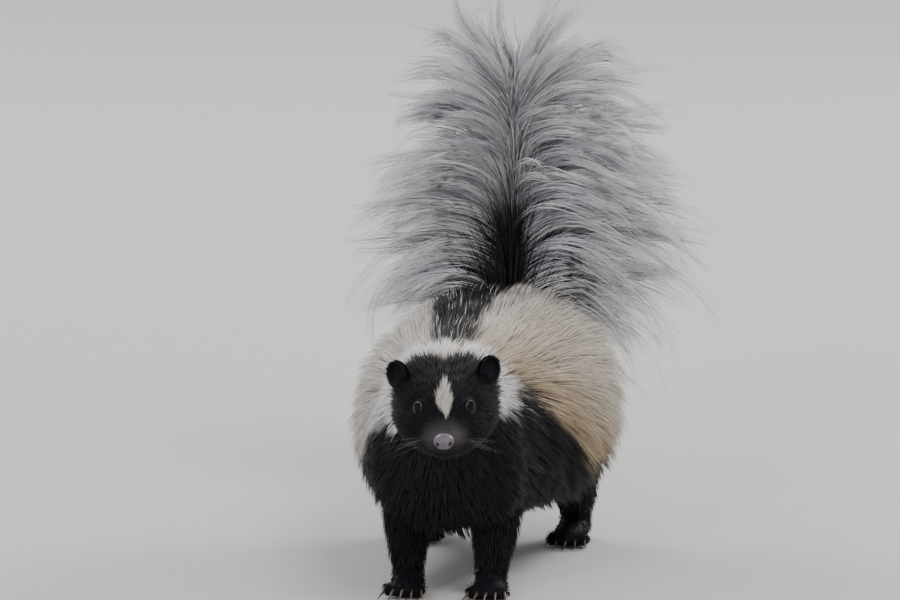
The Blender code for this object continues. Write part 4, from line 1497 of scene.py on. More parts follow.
    def core(self) -> Strands:
        """Shorter hair that clothes the bony tail: black, and greyer towards the tip.

        Returns:
            Every short hair of the tail.
        """
        rng = np.random.default_rng(self.seed + 1)
        dock = self.animal.dock()
        u, v = dock.scatter(self.core_count, rng)
        root, heading = dock.at(u, v), dock.heading(u)
        radial = unit(root - dock.line(u))
        first = lifted(heading, radial, rng.uniform(14, 42, self.core_count))
        length = rng.uniform(0.028, 0.064, self.core_count) * (1.15 - 0.45 * u)
        root = root - radial * self.core_sunk
        lines = hair_lines(root, first, unit(first + 0.6 * radial), length, self.core_steps)
        white = ramp(u, 0.34, 0.58) * rng.uniform(0.35, 0.95, self.core_count)
        tone = rng.uniform(0, 1, self.core_count)
        widths = np.full(self.core_count, self.core_width)
        return Strands(lines, radial, widths, white, 0 * tone, tone, Patch.TAIL.uv(u, v))


@dataclass
class FootCoat:
    """Short black hair over the feet, lying forwards to the claws.

    Each small ellipsoid gets the same number of hairs, and each large one three times as many.
    Skin that faces down further than sole, or lies lower than lowest, stays bare.
    """

    eggs: list[Egg]
    each: int = 120
    large: float = 0.008
    steps: int = 2
    width: float = 0.0007
    sunk: float = 0.0004
    sole: float = -0.3
    lowest: float = 0.003
    seed: int = 83

    def strands(self) -> Strands:
        """The hair lies forwards and down, and is never longer than its root is high.

        Returns:
            Every hair of the four feet.
        """
        rng = np.random.default_rng(self.seed)
        roots, outs = [], []
        for egg in self.eggs:
            u, v = egg.scatter(self.each * (3 if egg.radii[0] > self.large else 1), rng)
            roots.append(egg.at(u, v))
            outs.append(egg.out(u, v))
        root, out = np.vstack(roots), np.vstack(outs)
        keep = (out[:, 2] > self.sole) & (root[:, 2] > self.lowest)
        root, out = root[keep], out[keep]
        count = len(root)
        lie = unit(np.array([0, -1.0, -0.45]) + rng.normal(0, 0.12, (count, 3)))
        flat = in_surface(lie, out)
        length = np.minimum(rng.uniform(0.0035, 0.0060, count), root[:, 2] * 0.8)
        first = unit(flat + 0.4 * out)
        lines = hair_lines(root - out * self.sunk, first, flat, length, self.steps)
        uv = Patch.FEET.uv((root[:, 1] + 0.15) / 0.30, (root[:, 0] + 0.08) / 0.17)
        zero, tone = np.zeros(count), rng.uniform(0, 1, count)
        return Strands(lines, out, np.full(count, self.width), zero, zero, tone, uv)


@dataclass
class Ear:
    """One round ear: a shallow cup turned from a profile, open to the front.

    Rows of profile hold a share of the ear's half width and height, and a share of its depth,
    from the middle of the back over the rim to the middle of the hollow. The left ear stands
    a little higher, the right one a little further out.
    """

    animal: Animal
    side: Side
    place: Place = (0.0295, 0.0640, 0.0270)
    left_rise: float = 0.0020
    right_spread: float = 0.0014
    width: float = 0.0072
    height: float = 0.0100
    depth: float = 0.0072
    turn: float = math.radians(28)
    lean: float = math.radians(14)
    hairs: int = 1300
    hair_steps: int = 2
    hair_width: float = 0.0005
    sunk: float = 0.0003
    hollow_share: float = 0.42
    seed: int = 71
    profile: Rows = (
        (0.06, 1.00), (0.30, 0.97), (0.52, 0.88), (0.70, 0.72), (0.84, 0.50), (0.94, 0.26),
        (0.99, 0.06), (1.00, -0.06), (0.96, -0.12), (0.90, -0.06), (0.84, 0.10), (0.72, 0.30),
        (0.54, 0.46), (0.30, 0.54), (0.06, 0.56),
    )

    def matrix(self) -> Matrix:
        """Places the ear's own frame on the head.

        Returns:
            The matrix that places it in the animal's frame.
        """
        across, back, up = self.place
        if self.side is Side.LEFT:
            up += self.left_rise
        else:
            across += self.right_spread
        turned = Matrix.Rotation(self.side * self.turn, 4, "Z")
        turned = turned @ Matrix.Rotation(self.side * self.lean, 4, "Y")
        moved = Matrix.Translation((self.side * across, back, up))
        return self.animal.head.matrix() @ moved @ turned

    def oval(self, reach: Array, depth: Array, turn: Array) -> Array:
        """Points at a share of the ear's size and depth and an angle about its Y axis."""
        x, z = self.width * reach * np.cos(turn), self.height * reach * np.sin(turn)
        return carried(np.stack([x, self.depth * depth + 0 * turn, z], axis=-1), self.matrix())

    def grid(self, sides: int = 48) -> Array:
        """The cup: the profile's reach and depth turned about the ear's Y axis, as an oval."""
        reach, depth = np.array(self.profile).T[..., None]
        return self.oval(reach, depth, TURN * np.arange(sides) / sides)

    def strands(self) -> Strands:
        """Short black hairs over the back, the rim and the hollow of the ear.

        Returns:
            Every hair of the ear.
        """
        rng = np.random.default_rng(self.seed + self.side)
        reach = np.sqrt(rng.uniform(0.12, 1.0, self.hairs))
        turn = rng.uniform(-0.12, 0.62, self.hairs) * TURN
        inside = rng.uniform(0, 1, self.hairs) < self.hollow_share
        turn = np.where(inside, rng.uniform(0, TURN, self.hairs), turn)
        reach = np.where(inside, 0.30 + 0.66 * reach, reach)
        depth = np.sqrt(np.clip(1 - reach**2.4, 0, 1))
        depth = np.where(inside, 0.56 * depth, depth)
        root = self.oval(reach, depth, turn)
        x, z = np.cos(turn), np.sin(turn)
        out = unit(np.stack([reach * x, 0.15 + depth, reach * z], axis=-1))
        out = np.where(inside[:, None], -out, out)
        way = np.stack([x, 0.5 - reach, z], axis=-1)
        noise = rng.normal(0, 0.12, way.shape)
        way = unit(way - out * (way * out).sum(-1, keepdims=True) + noise)
        rotation = np.array(self.matrix().to_3x3()).T
        way, out = way @ rotation, out @ rotation
        length = rng.uniform(0.0022, 0.0040, self.hairs)
        first = unit(way + 0.35 * out)
        lines = hair_lines(root - out * self.sunk, first, way, length, self.hair_steps)
        uv = Patch.EARS.uv(reach * 0.5, turn / TURN)
        widths, zero = np.full(self.hairs, self.hair_width), np.zeros(self.hairs)
        return Strands(lines, out, widths, zero, zero, rng.uniform(0, 1, self.hairs), uv)


@dataclass
class Whiskers:
    """A few pale, stiff whiskers on each side of the muzzle."""

    animal: Animal
    each: int = 6
    steps: int = 8
    width: float = 0.00022
    pale: float = 0.35
    seed: int = 91

    def strands(self) -> Strands:
        """A whisker leaves the cheek outwards and bends back and down.

        Returns:
            Every whisker.
        """
        rng = np.random.default_rng(self.seed)
        local, way = [], []
        for side in reversed(Side):
            for _ in range(self.each):
                back = rng.uniform(0.012, 0.024)
                across = side * (0.0125 + 0.25 * (back - 0.012))
                local.append((across, back, rng.uniform(-0.010, -0.002)))
                outwards = side * rng.uniform(0.75, 1.0)
                way.append((outwards, rng.uniform(0.1, 0.55), rng.uniform(-0.55, 0.05)))
        matrix = self.animal.head.matrix()
        root = carried(np.array(local), matrix)
        first = unit(np.array(way)) @ np.array(matrix.to_3x3()).T
        count = len(root)
        last = unit(first + [0, 0.35, -0.35])
        lines = hair_lines(root, first, last, rng.uniform(0.020, 0.038, count), self.steps)
        tone, widths = np.ones(count), np.full(count, self.width)
        uv = Patch.HEAD.uv(np.full(count, 0.2), rng.uniform(0, 1, count))
        outs = np.tile(UP, (count, 1))
        return Strands(lines, outs, widths, self.pale * tone, 0 * tone, tone, uv)


@dataclass
class Skin:
    """One skin over trunk, neck, head, legs, feet and bony tail.

    In front of face_line the markings are those of the head. The bony tail pales between the
    two heights of tail_pale.
    """

    animal: Animal
    markings: Markings
    voxel: float = 0.0021
    face_line: float = -0.135
    tail_foot: float = 0.20
    tail_pale: tuple[float, float] = (0.215, 0.255)

    def body(self) -> bpy.types.Object:
        """Fuses the body's closed surfaces by a fine remesh and eases it.

        Returns:
            The body, at the origin.
        """
        animal = self.animal
        parts = [
            closed_tube("skin_trunk", animal.trunk.grid(90, 96)),
            closed_tube("skin_neck", animal.neck().grid(14, 96)),
            closed_tube("skin_skull", animal.head.grid(60, 80)),
            closed_tube("skin_dock", animal.dock().grid(50, 24)),
        ]
        legs = [animal.leg(pair, side) for side in Side for pair in Pair]
        parts += [closed_tube("skin_leg", leg.grid(30, 32)) for leg in legs]
        parts += [closed_tube("skin_foot", egg.grid(12, 16)) for egg in animal.feet()]
        body = joined("skin", parts)
        remesh = body.modifiers.new("fuse", "REMESH")
        remesh.mode, remesh.voxel_size = "VOXEL", self.voxel
        smooth = body.modifiers.new("ease", "SMOOTH")
        smooth.factor, smooth.iterations = 0.5, 4
        settle(body)
        return body

    def tones(self, points: Array) -> dict[str, Array]:
        """The skin's marks at its points, as the hair has them at its roots.

        Args:
            points: The skin's points.

        Returns:
            One number for each point, under each mark's name.
        """
        white, warm = self.markings.on_trunk(points)
        on_head, _ = self.markings.on_head(points)
        white = np.where(points[:, 1] < self.face_line, on_head, white)
        on_tail = 0.7 * ramp(points[:, 2], *self.tail_pale)
        white = np.where(points[:, 2] > self.tail_foot, on_tail, white)
        even = np.ones_like(warm)
        # fur_along of 0.1 gives the skin nearly the full painted shade of the hair's roots.
        return {
            "fur_white": white, "fur_warm": warm, "fur_shade": 0.5 * even, "fur_along": 0.1 * even,
        }

    def build(self, shift: Array) -> bpy.types.Object:
        """Makes the skin from the fused body and the finer head.

        The head's first ring is a single point, so its grid starts at the second.

        Args:
            shift: What is added to every point to bring it to the part's frame.

        Returns:
            The skin, at the origin.
        """
        face = closed_tube("skin_face", self.animal.head.grid(180, 200)[1:])
        skin = joined("skin", [self.body(), face])
        points = coordinates(skin.data).astype(float)
        set_tones(skin.data, self.tones(points))
        skin.data.vertices.foreach_set("co", (points + shift).astype(np.float32).ravel())
        skin.data.update()
        return skin


@dataclass
class Eye:
    """One eyeball with its lids.

    The lids ring the eyeball as an oval of half width wide and half height high. thick is the
    fold's radius, and proud how far it stands off the eyeball.
    """

    animal: Animal
    side: Side
    wide: float = 0.0032
    high: float = 0.0041
    thick: float = 0.00044
    proud: float = 0.0003

    def ball(self) -> Array:
        """The eyeball: a sphere, its poles in front and behind.

        Returns:
            A grid of points.
        """
        radius = self.animal.head.eye_radius
        grid = Egg((0, 0, 0), (radius, radius, radius)).grid(32, 48)
        return carried(grid, self.animal.head.eye_matrix(self.side))

    def lids(self) -> Array:
        """A fold of skin round the eye: a small circle carried round an oval on the eyeball.

        Returns:
            A grid of points that closes both ways.
        """
        radius = self.animal.head.eye_radius
        around = (TURN * np.arange(64) / 64)[:, None]
        about = (TURN * np.arange(10) / 10)[None, :]
        depth = np.sqrt(radius**2 - self.wide**2) + self.proud
        x = (self.wide + self.thick * np.cos(about)) * np.cos(around)
        y = -depth - self.thick * np.sin(about) + 0 * around
        z = (self.high + self.thick * np.cos(about)) * np.sin(around)
        return carried(np.stack([x, y, z], axis=-1), self.animal.head.eye_matrix(self.side))


@dataclass
class Nose(Surface):
    """The bare pad of the nose with its two nostrils.

    The nostrils' places and sizes, and groove_width, are shares of the pad's own half width
    and height.
    """

    animal: Animal
    width: float = 0.0074
    depth: float = 0.0080
    height: float = 0.0054
    drop: float = 0.0030
    groove_depth: float = 0.00045
    groove_width: float = 0.07
    nostril_depth: float = 0.0026
    nostril_place: tuple[float, float] = (0.54, -0.16)
    nostril_size: tuple[float, float] = (0.14, 0.24)
    nostril_slant: float = 0.6

    def at(self, u: Array, v: Array) -> Array:
        """Points: an ellipsoid with a groove down its middle and a hollow at each nostril.

        Groove and hollows are bell curves that push its front inwards.
        """
        swing = math.pi * (0.01 + 0.98 * u)
        x, z = np.sin(swing) * np.cos(TURN * v), np.sin(swing) * np.sin(TURN * v)
        y = -np.cos(swing)
        front = ramp(-y, 0.0, 0.4)
        inwards = self.groove_depth * np.exp(-((x / self.groove_width) ** 2)) * front
        (across, up), (wide, high) = self.nostril_place, self.nostril_size
        for side in reversed(Side):
            off = x - side * across
            gap = (off / wide) ** 2 + ((z - up - self.nostril_slant * side * off) / high) ** 2
            inwards = inwards + self.nostril_depth * np.exp(-(gap**1.5)) * front
        x, z = self.width * x, self.height * z - self.drop
        local = np.stack([x, self.depth * y + self.depth + inwards, z], axis=-1)
        return carried(local, self.animal.head.matrix())


@dataclass
class Claws:
    """The claws of one foot: each a tapering, down-curved spike.

    root is how far inside its toe each one starts, and fan the angle between neighbours.
    """

    foot: Foot
    side: Side
    radius: float = 0.0018
    taper: float = 0.88
    height: float = 0.0066
    droop: float = 0.0052
    root: float = 0.004
    fan: float = math.radians(8)

    def grids(self) -> list[Array]:
        """An oval ring of points at each step along every claw's falling line.

        Returns:
            A grid of points for each claw.
        """
        foot = self.foot
        step = np.linspace(0, 0.97, 14)[:, None]
        about = (TURN * np.arange(10) / 10)[None, :]
        radius = (self.radius * (1 - self.taper * step))[..., None]
        wide, high = 0.75 * np.cos(about)[..., None], 1.15 * np.sin(about)[..., None]
        made = []
        for toe in foot.toes:
            spread = self.fan * toe
            length = foot.claw * (1 - 0.07 * abs(toe)) + self.root
            front = foot.heel - foot.length * foot.toe_line - foot.toe_reach(toe) + self.root
            start = np.array([foot.toe_middle(self.side, toe), front, self.height])
            ahead = np.array([math.sin(spread), -math.cos(spread), 0.0])
            across = np.array([math.cos(spread), math.sin(spread), 0.0])
            line = start + ahead * length * step - self.droop * UP * step**1.7
            made.append(line[:, None, :] + radius * (wide * across + high * UP))
        return made


class Socket:
    """One output of a node, on which Python's operators add Math nodes."""

    def __init__(self, shader: Shader, value: bpy.types.NodeSocket) -> None:
        """Keeps the shader it belongs to and its output."""
        self.shader, self.value = shader, value

    def _math(self, operation: str, first: object, second: object) -> Socket:
        """A Math node of this operation on two values."""
        settings = {"operation": operation}
        return self.shader.node("ShaderNodeMath", settings, {0: first, 1: second})

    def __add__(self, other: object) -> Socket:
        """This plus other."""
        return self._math("ADD", self, other)

    def __rsub__(self, other: object) -> Socket:
        """Other less this."""
        return self._math("SUBTRACT", other, self)

    def __mul__(self, other: object) -> Socket:
        """This times other."""
        return self._math("MULTIPLY", self, other)

    def __pow__(self, other: object) -> Socket:
        """This to the power of other."""
        return self._math("POWER", self, other)

    __radd__ = __add__
    __rmul__ = __mul__


class Shader:
    """A material under construction, with one method that adds any node."""

    def __init__(self, name: str) -> None:
        """Starts the material with its Principled surface."""
        self.material = bpy.data.materials.new(name)
        self.material.use_nodes = True
        self.tree = self.material.node_tree
        self.surface = self.tree.nodes["Principled BSDF"]

    def feed(self, socket: bpy.types.NodeSocket, value: object) -> None:
        """Links or sets one input socket.

        Args:
            socket: The input.
            value: An output to link, or a number or colour to set.
        """
        if isinstance(value, Socket):
            self.tree.links.new(value.value, socket)
        else:
            socket.default_value = value

    def node(self, kind: str, settings: dict, values: dict, output: int | str = 0) -> Socket:
        """Adds a node.

        Args:
            kind: The node's type.
            settings: What is set first, such as an operation.
            values: Numbers, colours or sockets by the inputs' names or numbers.
            output: The output that is wanted.

        Returns:
            That output.
        """
        node = self.tree.nodes.new(kind)
        for key, value in settings.items():
            setattr(node, key, value)
        for key, value in values.items():
            self.feed(node.inputs[key], value)
        return Socket(self, node.outputs[output])

    def attribute(self, name: str) -> Socket:
        """A number kept on the mesh."""
        settings = {"attribute_type": "GEOMETRY", "attribute_name": name}
        return self.node("ShaderNodeAttribute", settings, {}, "Fac")

    def mix(self, factor: object, first: object, second: object) -> Socket:
        """A colour between two, by a factor."""
        values = {0: factor, 6: first, 7: second}
        return self.node("ShaderNodeMix", {"data_type": "RGBA"}, values, 2)

    def noise(self, scale: float, detail: float = 2.0) -> Socket:
        """Noise from 0 to 1 over the object's own coordinates.

        Args:
            scale: How fine it is.
            detail: How many finer layers it has.

        Returns:
            Its output.
        """
        place = self.node("ShaderNodeTexCoord", {}, {}, "Object")
        values = {"Vector": place, "Scale": scale, "Detail": detail}
        return self.node("ShaderNodeTexNoise", {"noise_dimensions": "3D"}, values)

    def set(self, **values: object) -> None:
        """Sets or links inputs of the Principled surface, by names with _ for spaces."""
        for key, value in values.items():
            self.feed(self.surface.inputs[key.replace("_", " ")], value)

    def bump(self, height: Socket, strength: float, distance: float) -> None:
        """Feeds a height to the surface's normal."""
        values = {"Height": height, "Strength": strength, "Distance": distance}
        self.feed(self.surface.inputs["Normal"], self.node("ShaderNodeBump", {}, values))


@dataclass(frozen=True)
class FurFinish:
    """Body skin and hair: black and white by the coat's own marks, with painted shade at the
    roots.

    white and white_cool are the two ends of the pale hair's range, tan its warm tone and root
    the painted shade at its root, where the coat shades itself. black and black_tip are the ends
    of the black hair's range.
    """

    black: Colour = (0.0056, 0.0052, 0.0074, 1)
    black_tip: Colour = (0.0100, 0.0092, 0.0122, 1)
    white: Colour = (0.78, 0.715, 0.64, 1)
    white_cool: Colour = (0.72, 0.70, 0.67, 1)
    tan: Colour = (0.56, 0.42, 0.26, 1)
    # root is painted shade: the tone the hair takes near its root, deep in the coat.
    root: Colour = (0.27, 0.23, 0.20, 1)
    roughness: float = 0.50
    specular: float = 0.30

    def build(self, name: str) -> bpy.types.Material:
        """Makes the material.

        Args:
            name: The material's name.

        Returns:
            The material.
        """
        shader = Shader(name)
        white = shader.attribute("fur_white")
        warm = shader.attribute("fur_warm")
        shade = shader.attribute("fur_shade")
        tip = shader.attribute("fur_along")
        pale = shader.mix(shade, self.white, self.white_cool)
        pale = shader.mix(warm * (0.6 + 0.4 * tip), pale, self.tan)
        # Painted shade: pale hair darkens towards its root, where the coat shades itself.
        pale = shader.mix((1 - tip) ** 3.0 * 0.75, pale, self.root)
        dark = shader.mix(shade * tip, self.black, self.black_tip)
        shader.set(Base_Color=shader.mix(white, dark, pale))
        shader.set(Roughness=self.roughness + 0.12 * white + 0.10 * shade)
        shader.set(Specular_IOR_Level=self.specular)
        return shader.material


@dataclass(frozen=True)
class FaceFinish(FurFinish):
    """The duller, slightly bluer black of the skin, face, ears and feet."""

    black: Colour = (0.0058, 0.0053, 0.0086, 1)
    black_tip: Colour = (0.0098, 0.0092, 0.0138, 1)
    roughness: float = 0.62
    specular: float = 0.15


@dataclass(frozen=True)
class NapeFinish(FurFinish):
    """The cleaner, cooler white of the nape."""

    white: Colour = (0.90, 0.87, 0.87, 1)
    white_cool: Colour = (0.86, 0.84, 0.86, 1)
    # root is painted shade at the hair's roots, lighter here than on the body.
    root: Colour = (0.42, 0.39, 0.38, 1)


@dataclass(frozen=True)
class SilverFinish(FurFinish):
    """The silver of the tail, from white to a cool grey."""

    white: Colour = (0.95, 0.95, 0.95, 1)
    white_cool: Colour = (0.50, 0.51, 0.55, 1)
    # root is painted shade at the hair's roots.
    root: Colour = (0.40, 0.40, 0.44, 1)


@dataclass(frozen=True)
class SpeckledFinish:
    """A surface whose colour and roughness follow one noise between two ends.

    fleck is the noise's scale, and bump_scale that of a second noise for the bump, or None
    where the bump follows the first one. bump_height is the bump's distance in metres.
    """

    first: Colour
    second: Colour
    fleck: float
    detail: float = 2.0
    roughness: float = 0.35
    roughness_range: float = 0.2
    specular: float = 0.5
    bump_strength: float = 0.0
    bump_scale: float | None = None
    bump_height: float = 0.0003

    def build(self, name: str) -> bpy.types.Material:
        """Makes the material.

        Args:
            name: The material's name.

        Returns:
            The material.
        """
        shader = Shader(name)
        fleck = shader.noise(self.fleck, self.detail)
        shader.set(Base_Color=shader.mix(fleck, self.first, self.second))
        rough = self.roughness
        if self.roughness_range:
            rough = rough + self.roughness_range * fleck
        shader.set(Roughness=rough, Specular_IOR_Level=self.specular)
        if self.bump_strength:
            height = shader.noise(self.bump_scale) if self.bump_scale else fleck
            shader.bump(height, self.bump_strength, self.bump_height)
        return shader.material


@dataclass(frozen=True)
class NoseFinish(SpeckledFinish):
    """Moist bare skin, pinkish grey-brown, pebbled."""

    first: Colour = (0.075, 0.060, 0.078, 1)
    second: Colour = (0.170, 0.132, 0.160, 1)
    fleck: float = 420.0
    detail: float = 3.0
    roughness: float = 0.34
    bump_strength: float = 0.5
    bump_scale: float | None = 1500.0


@dataclass(frozen=True)
class EyeFinish(SpeckledFinish):
    """A wet, nearly black eye with a trace of dark brown."""

    first: Colour = (0.0015, 0.0012, 0.0012, 1)
    second: Colour = (0.006, 0.004, 0.003, 1)
    fleck: float = 900.0
    roughness: float = 0.03
    roughness_range: float = 0.0
    specular: float = 0.14


@dataclass(frozen=True)
class LidSkinAndHighlight(SpeckledFinish):
    """The thin grey rim of the eyelids: partly their own grey skin, partly painted highlight."""

    # Greyer than the face's black: partly the lids' own skin, partly a painted highlight on their
    # wet edge.
    first: Colour = (0.018, 0.016, 0.020, 1)
    second: Colour = (0.052, 0.046, 0.054, 1)
    fleck: float = 600.0


@dataclass(frozen=True)
class ClawFinish(SpeckledFinish):
    """Dark horn with fine streaks."""

    first: Colour = (0.05, 0.035, 0.027, 1)
    second: Colour = (0.20, 0.15, 0.11, 1)
    fleck: float = 700.0
    detail: float = 4.0
    roughness: float = 0.32
    bump_strength: float = 0.3


@dataclass(frozen=True)
class FloorFinish(SpeckledFinish):
    """A pale, plain floor."""

    first: Colour = (0.60, 0.59, 0.57, 1)
    second: Colour = (0.64, 0.63, 0.61, 1)
    fleck: float = 60.0
    detail: float = 3.0
    roughness: float = 0.8
    roughness_range: float = 0.0
    specular: float = 0.2


@dataclass(frozen=True)
class Lamp:
    """One soft square light: its place, size, power and colour."""

    name: str
    place: Place
    size: float
    power: float
    colour: tuple[float, float, float]


@dataclass
class Studio:
    """Floor, soft lights and the camera."""

    frame_pixels: tuple[int, int] = (900, 600)
    nose_pixel: tuple[float, float] = (443.6, 439.6)
    pixels_per_metre: float = 1550.0
    azimuth: float = math.radians(10)
    elevation: float = math.radians(9.5)
    distance: float = 6.0
    sensor: float = 36.0
    lamps: tuple[Lamp, ...] = (
        Lamp("key", (1.4, -1.9, 2.6), 1.2, 58.0, (1.0, 0.97, 0.93)),
        Lamp("fill", (-2.4, -1.6, 1.2), 2.2, 13.0, (0.93, 0.96, 1.0)),
        Lamp("catch", (-0.75, -2.9, 1.45), 0.36, 22.0, (1.0, 1.0, 1.0)),
        Lamp("rim_left", (1.6, 2.4, 2.0), 1.0, 60.0, (1.0, 0.98, 0.95)),
        Lamp("rim_right", (-1.8, 2.2, 2.2), 1.0, 50.0, (0.97, 0.98, 1.0)),
    )
    lit_height: float = 0.15
    sky: Colour = (0.93, 0.95, 1.0, 1)
    sky_strength: float = 0.55
    floor_radius: float = 60.0
    floor_sides: int = 96

    def camera(self, nose: Array) -> None:
        """Sets the camera so that the nose falls on its pixel at the photo's scale.

        The aim is the point that falls on the middle of the picture: the nose, moved across
        and up by its pixels' distance from the middle over the scale.

        Args:
            nose: The tip of the nose in the part's frame.
        """
        sine, cosine = math.sin(self.azimuth), math.cos(self.azimuth)
        low, flat = math.sin(self.elevation), math.cos(self.elevation)
        back = np.array([sine * flat, -cosine * flat, low])
        right = np.array([cosine, sine, 0.0])
        up = np.array([-sine * low, cosine * low, flat])
        off = np.array(self.nose_pixel) - np.array(self.frame_pixels) / 2
        aim = nose + (-right * off[0] + up * off[1]) / self.pixels_per_metre
        data = bpy.data.cameras.new("camera")
        data.sensor_width = self.sensor
        data.lens = self.pixels_per_metre * self.sensor * self.distance / self.frame_pixels[0]
        data.clip_end = 200.0
        camera = bpy.data.objects.new("camera", data)
        camera.location = aim + back * self.distance
        camera.rotation_euler = Vector(-back).to_track_quat("-Z", "Y").to_euler()
        bpy.context.scene.collection.objects.link(camera)
        bpy.context.scene.camera = camera

    def light(self, lamp: Lamp) -> None:
        """Adds a lamp that looks at the animal's middle and stays out of the picture.

        Args:
            lamp: The lamp.
        """
        data = bpy.data.lights.new(lamp.name, "AREA")
        data.size, data.energy, data.color = lamp.size, lamp.power, lamp.colour
        obj = bpy.data.objects.new(lamp.name, data)
        obj.location = lamp.place
        sight = Vector((0, 0, self.lit_height)) - Vector(lamp.place)
        obj.rotation_euler = sight.to_track_quat("-Z", "Y").to_euler()
        obj.visible_camera = False
        bpy.context.scene.collection.objects.link(obj)

    def world(self) -> None:
        """Sets an even, pale sky."""
        world = bpy.data.worlds.new("studio")
        world.use_nodes = True
        background = world.node_tree.nodes["Background"]
        background.inputs["Color"].default_value = self.sky
        background.inputs["Strength"].default_value = self.sky_strength
        bpy.context.scene.world = world

    def floor(self) -> None:
        """Makes the floor: one many-sided disc."""
        turn = TURN * np.arange(self.floor_sides) / self.floor_sides
        rim = self.floor_radius * np.stack([np.cos(turn), np.sin(turn), 0 * turn], axis=-1)
        mesh = new_mesh("floor", rim, [np.arange(self.floor_sides)[None]])
        floor = linked("floor", outward(mesh))
        floor.data.materials.append(FloorFinish().build("floor_finish"))

    def build(self, nose: Array) -> None:
        """Makes the camera, the lights, the world and the floor.

        Args:
            nose: The tip of the nose in the part's frame.
        """
        self.camera(nose)
        for lamp in self.lamps:
            self.light(lamp)
        self.world()
        self.floor()


def finished(
    obj: bpy.types.Object, material: bpy.types.Material, slot: Slot, *nodes: str
) -> None:
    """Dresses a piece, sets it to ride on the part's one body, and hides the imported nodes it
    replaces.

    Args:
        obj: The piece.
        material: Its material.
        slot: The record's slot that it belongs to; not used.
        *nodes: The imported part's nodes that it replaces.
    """
    obj.data.materials.clear()
    obj.data.materials.append(material)
    if nodes:
        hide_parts(*nodes)
    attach(obj, "root")
    log.info("%s: %d faces", obj.name, len(obj.data.polygons))


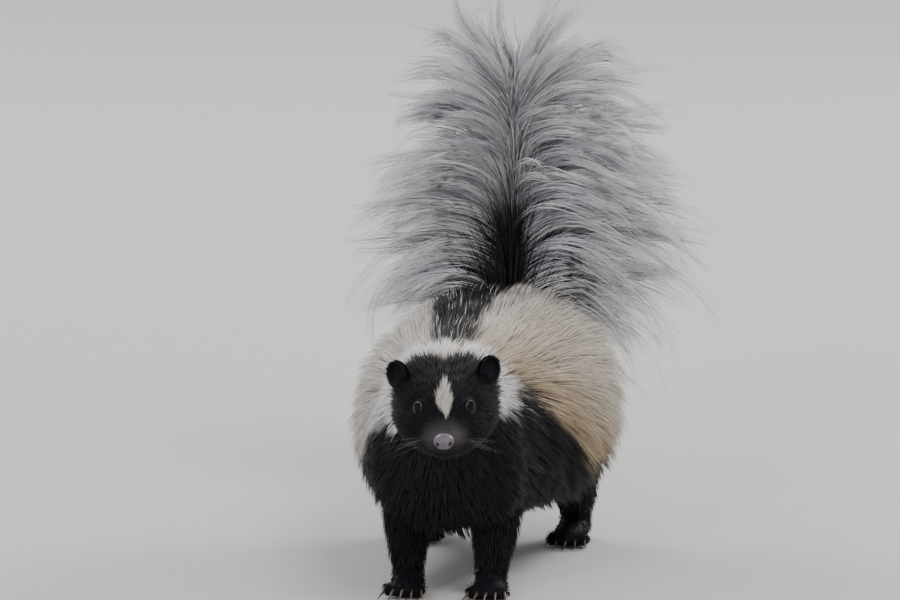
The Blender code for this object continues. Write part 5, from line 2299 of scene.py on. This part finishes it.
class DressedAnimal:
    """Builds and dresses every piece of the animal, one sub-assembly after another."""

    def __init__(self) -> None:
        """Sets up the shapes, the markings, the shift and the finishes that pieces share."""
        self.animal = Animal()
        self.markings = Markings(self.animal.head)
        self.shift = self.animal.shift()
        self.fur = FurFinish().build("fur")
        self.face_fur = FaceFinish().build("face_fur")
        self.lid_skin = LidSkinAndHighlight().build("lid_skin")
        self.wet_eye = EyeFinish().build("eye_surface")
        self.horn = ClawFinish().build("claw_horn")

    @property
    def nose_tip(self) -> Array:
        """The tip of the nose in the part's frame."""
        return np.array(self.animal.head.nose_tip) + self.shift

    def hair(
        self, name: str, strands: Strands, finish: bpy.types.Material, slot: Slot, *nodes: str
    ) -> None:
        """Builds one piece of the coat and dresses it."""
        finished(strands.build(name, self.shift), finish, slot, *nodes)

    def tube(
        self, name: str, grid: Array, finish: bpy.types.Material, slot: Slot, *nodes: str
    ) -> None:
        """Builds one closed tube and dresses it."""
        finished(closed_tube(name, grid + self.shift), finish, slot, *nodes)

    def skin(self) -> None:
        """The skin, which stands for all flesh."""
        skin = Skin(self.animal, self.markings).build(self.shift)
        finished(skin, self.face_fur, Slot.FUR, *FLESH_NODES)

    def coat(self) -> None:
        """The coat of trunk, neck, head, feet and legs."""
        trunk = TrunkCoat(self.animal, self.markings)
        hairs = trunk.strands()
        round_order = np.argsort(hairs.roots_uv[:, 0])
        for number, keep in enumerate(np.array_split(round_order, trunk.pieces)):
            self.hair(f"coat_trunk_{number + 1}", hairs.part(keep), self.fur, Slot.FUR)
        neck = NeckCoat(self.animal, self.markings).strands()
        self.hair("coat_neck", neck, NapeFinish().build("nape_fur"), Slot.FUR)
        head = HeadCoat(self.animal, self.markings).strands()
        self.hair("coat_head", head, self.face_fur, Slot.FUR)
        feet = FootCoat(self.animal.feet()).strands()
        self.hair("coat_feet", feet, self.face_fur, Slot.FUR)
        for side in Side:
            for pair in Pair:
                leg = LegCoat(self.animal, pair, side).strands()
                self.hair(f"coat_{pair.value}leg_{side.word}", leg, self.fur, Slot.FUR)

    def tail(self) -> None:
        """The tail: its short hair, and its long hair in thirds from right to left."""
        silver = SilverFinish().build("tail_silver")
        tail = TailHair(self.animal)
        self.hair("tail_core", tail.core(), silver, Slot.TAIL, "tail")
        hairs = tail.strands()
        thirds = np.array_split(np.argsort(hairs.outs[:, 0]), 3)
        for word, keep in zip(("right", "middle", "left"), thirds):
            self.hair(f"tail_hair_{word}", hairs.part(keep), silver, Slot.TAIL)

    def ear(self, side: Side) -> None:
        """One ear: a cup and its hair.

        Args:
            side: The ear's side.
        """
        ear = Ear(self.animal, side)
        self.tube(f"ear_cup_{side.word}", ear.grid(), self.face_fur, Slot.FUR)
        self.hair(f"coat_ear_{side.word}", ear.strands(), self.face_fur, Slot.FUR)

    def eye(self, side: Side) -> None:
        """One eye: an eyeball and the ring of its lids.

        Args:
            side: The eye's side.
        """
        eye, word = Eye(self.animal, side), side.word
        self.tube(f"eyeball_{word}", eye.ball(), self.wet_eye, Slot.EYE, f"eye_{word}")
        lids = eye.lids() + self.shift
        name, quads = f"eyelids_{word}", ring_quads(*lids.shape[:2], closed=True)
        ring = smooth_object(name, new_mesh(name, lids.reshape(-1, 3), [quads]))
        finished(ring, self.lid_skin, Slot.FUR)

    def claws(self, side: Side) -> None:
        """The claws of one side's feet, one piece a foot.

        Args:
            side: The feet's side.
        """
        for pair in Pair:
            grids = Claws(self.animal.foot(pair), side).grids()
            spikes = [closed_tube("claw", grid + self.shift) for grid in grids]
            claws = joined(f"claws_{pair.value}_{side.word}", spikes)
            finished(claws, self.horn, Slot.CLAW)

    def muzzle(self) -> None:
        """The nose pad and the whiskers."""
        moist = NoseFinish().build("nose_skin")
        self.tube("nose_pad", Nose(self.animal).grid(90, 120), moist, Slot.NOSE, "nose")
        self.hair("whiskers", Whiskers(self.animal).strands(), self.fur, Slot.FUR)

    def build(self) -> None:
        """Makes every piece in order."""
        self.skin()
        self.coat()
        self.tail()
        for side in Side:
            self.ear(side)
            self.eye(side)
            self.claws(side)
        self.muzzle()


def main() -> None:
    """Builds every piece of the animal, then the studio, and logs the shift and each piece's
    faces.
    """
    logging.basicConfig(level=logging.INFO, format="%(name)s %(message)s")
    dressed = DressedAnimal()
    log.info("shift %s", np.round(dressed.shift, 4))
    dressed.build()
    Studio().build(dressed.nose_tip)


if __name__ == "__main__":
    main()
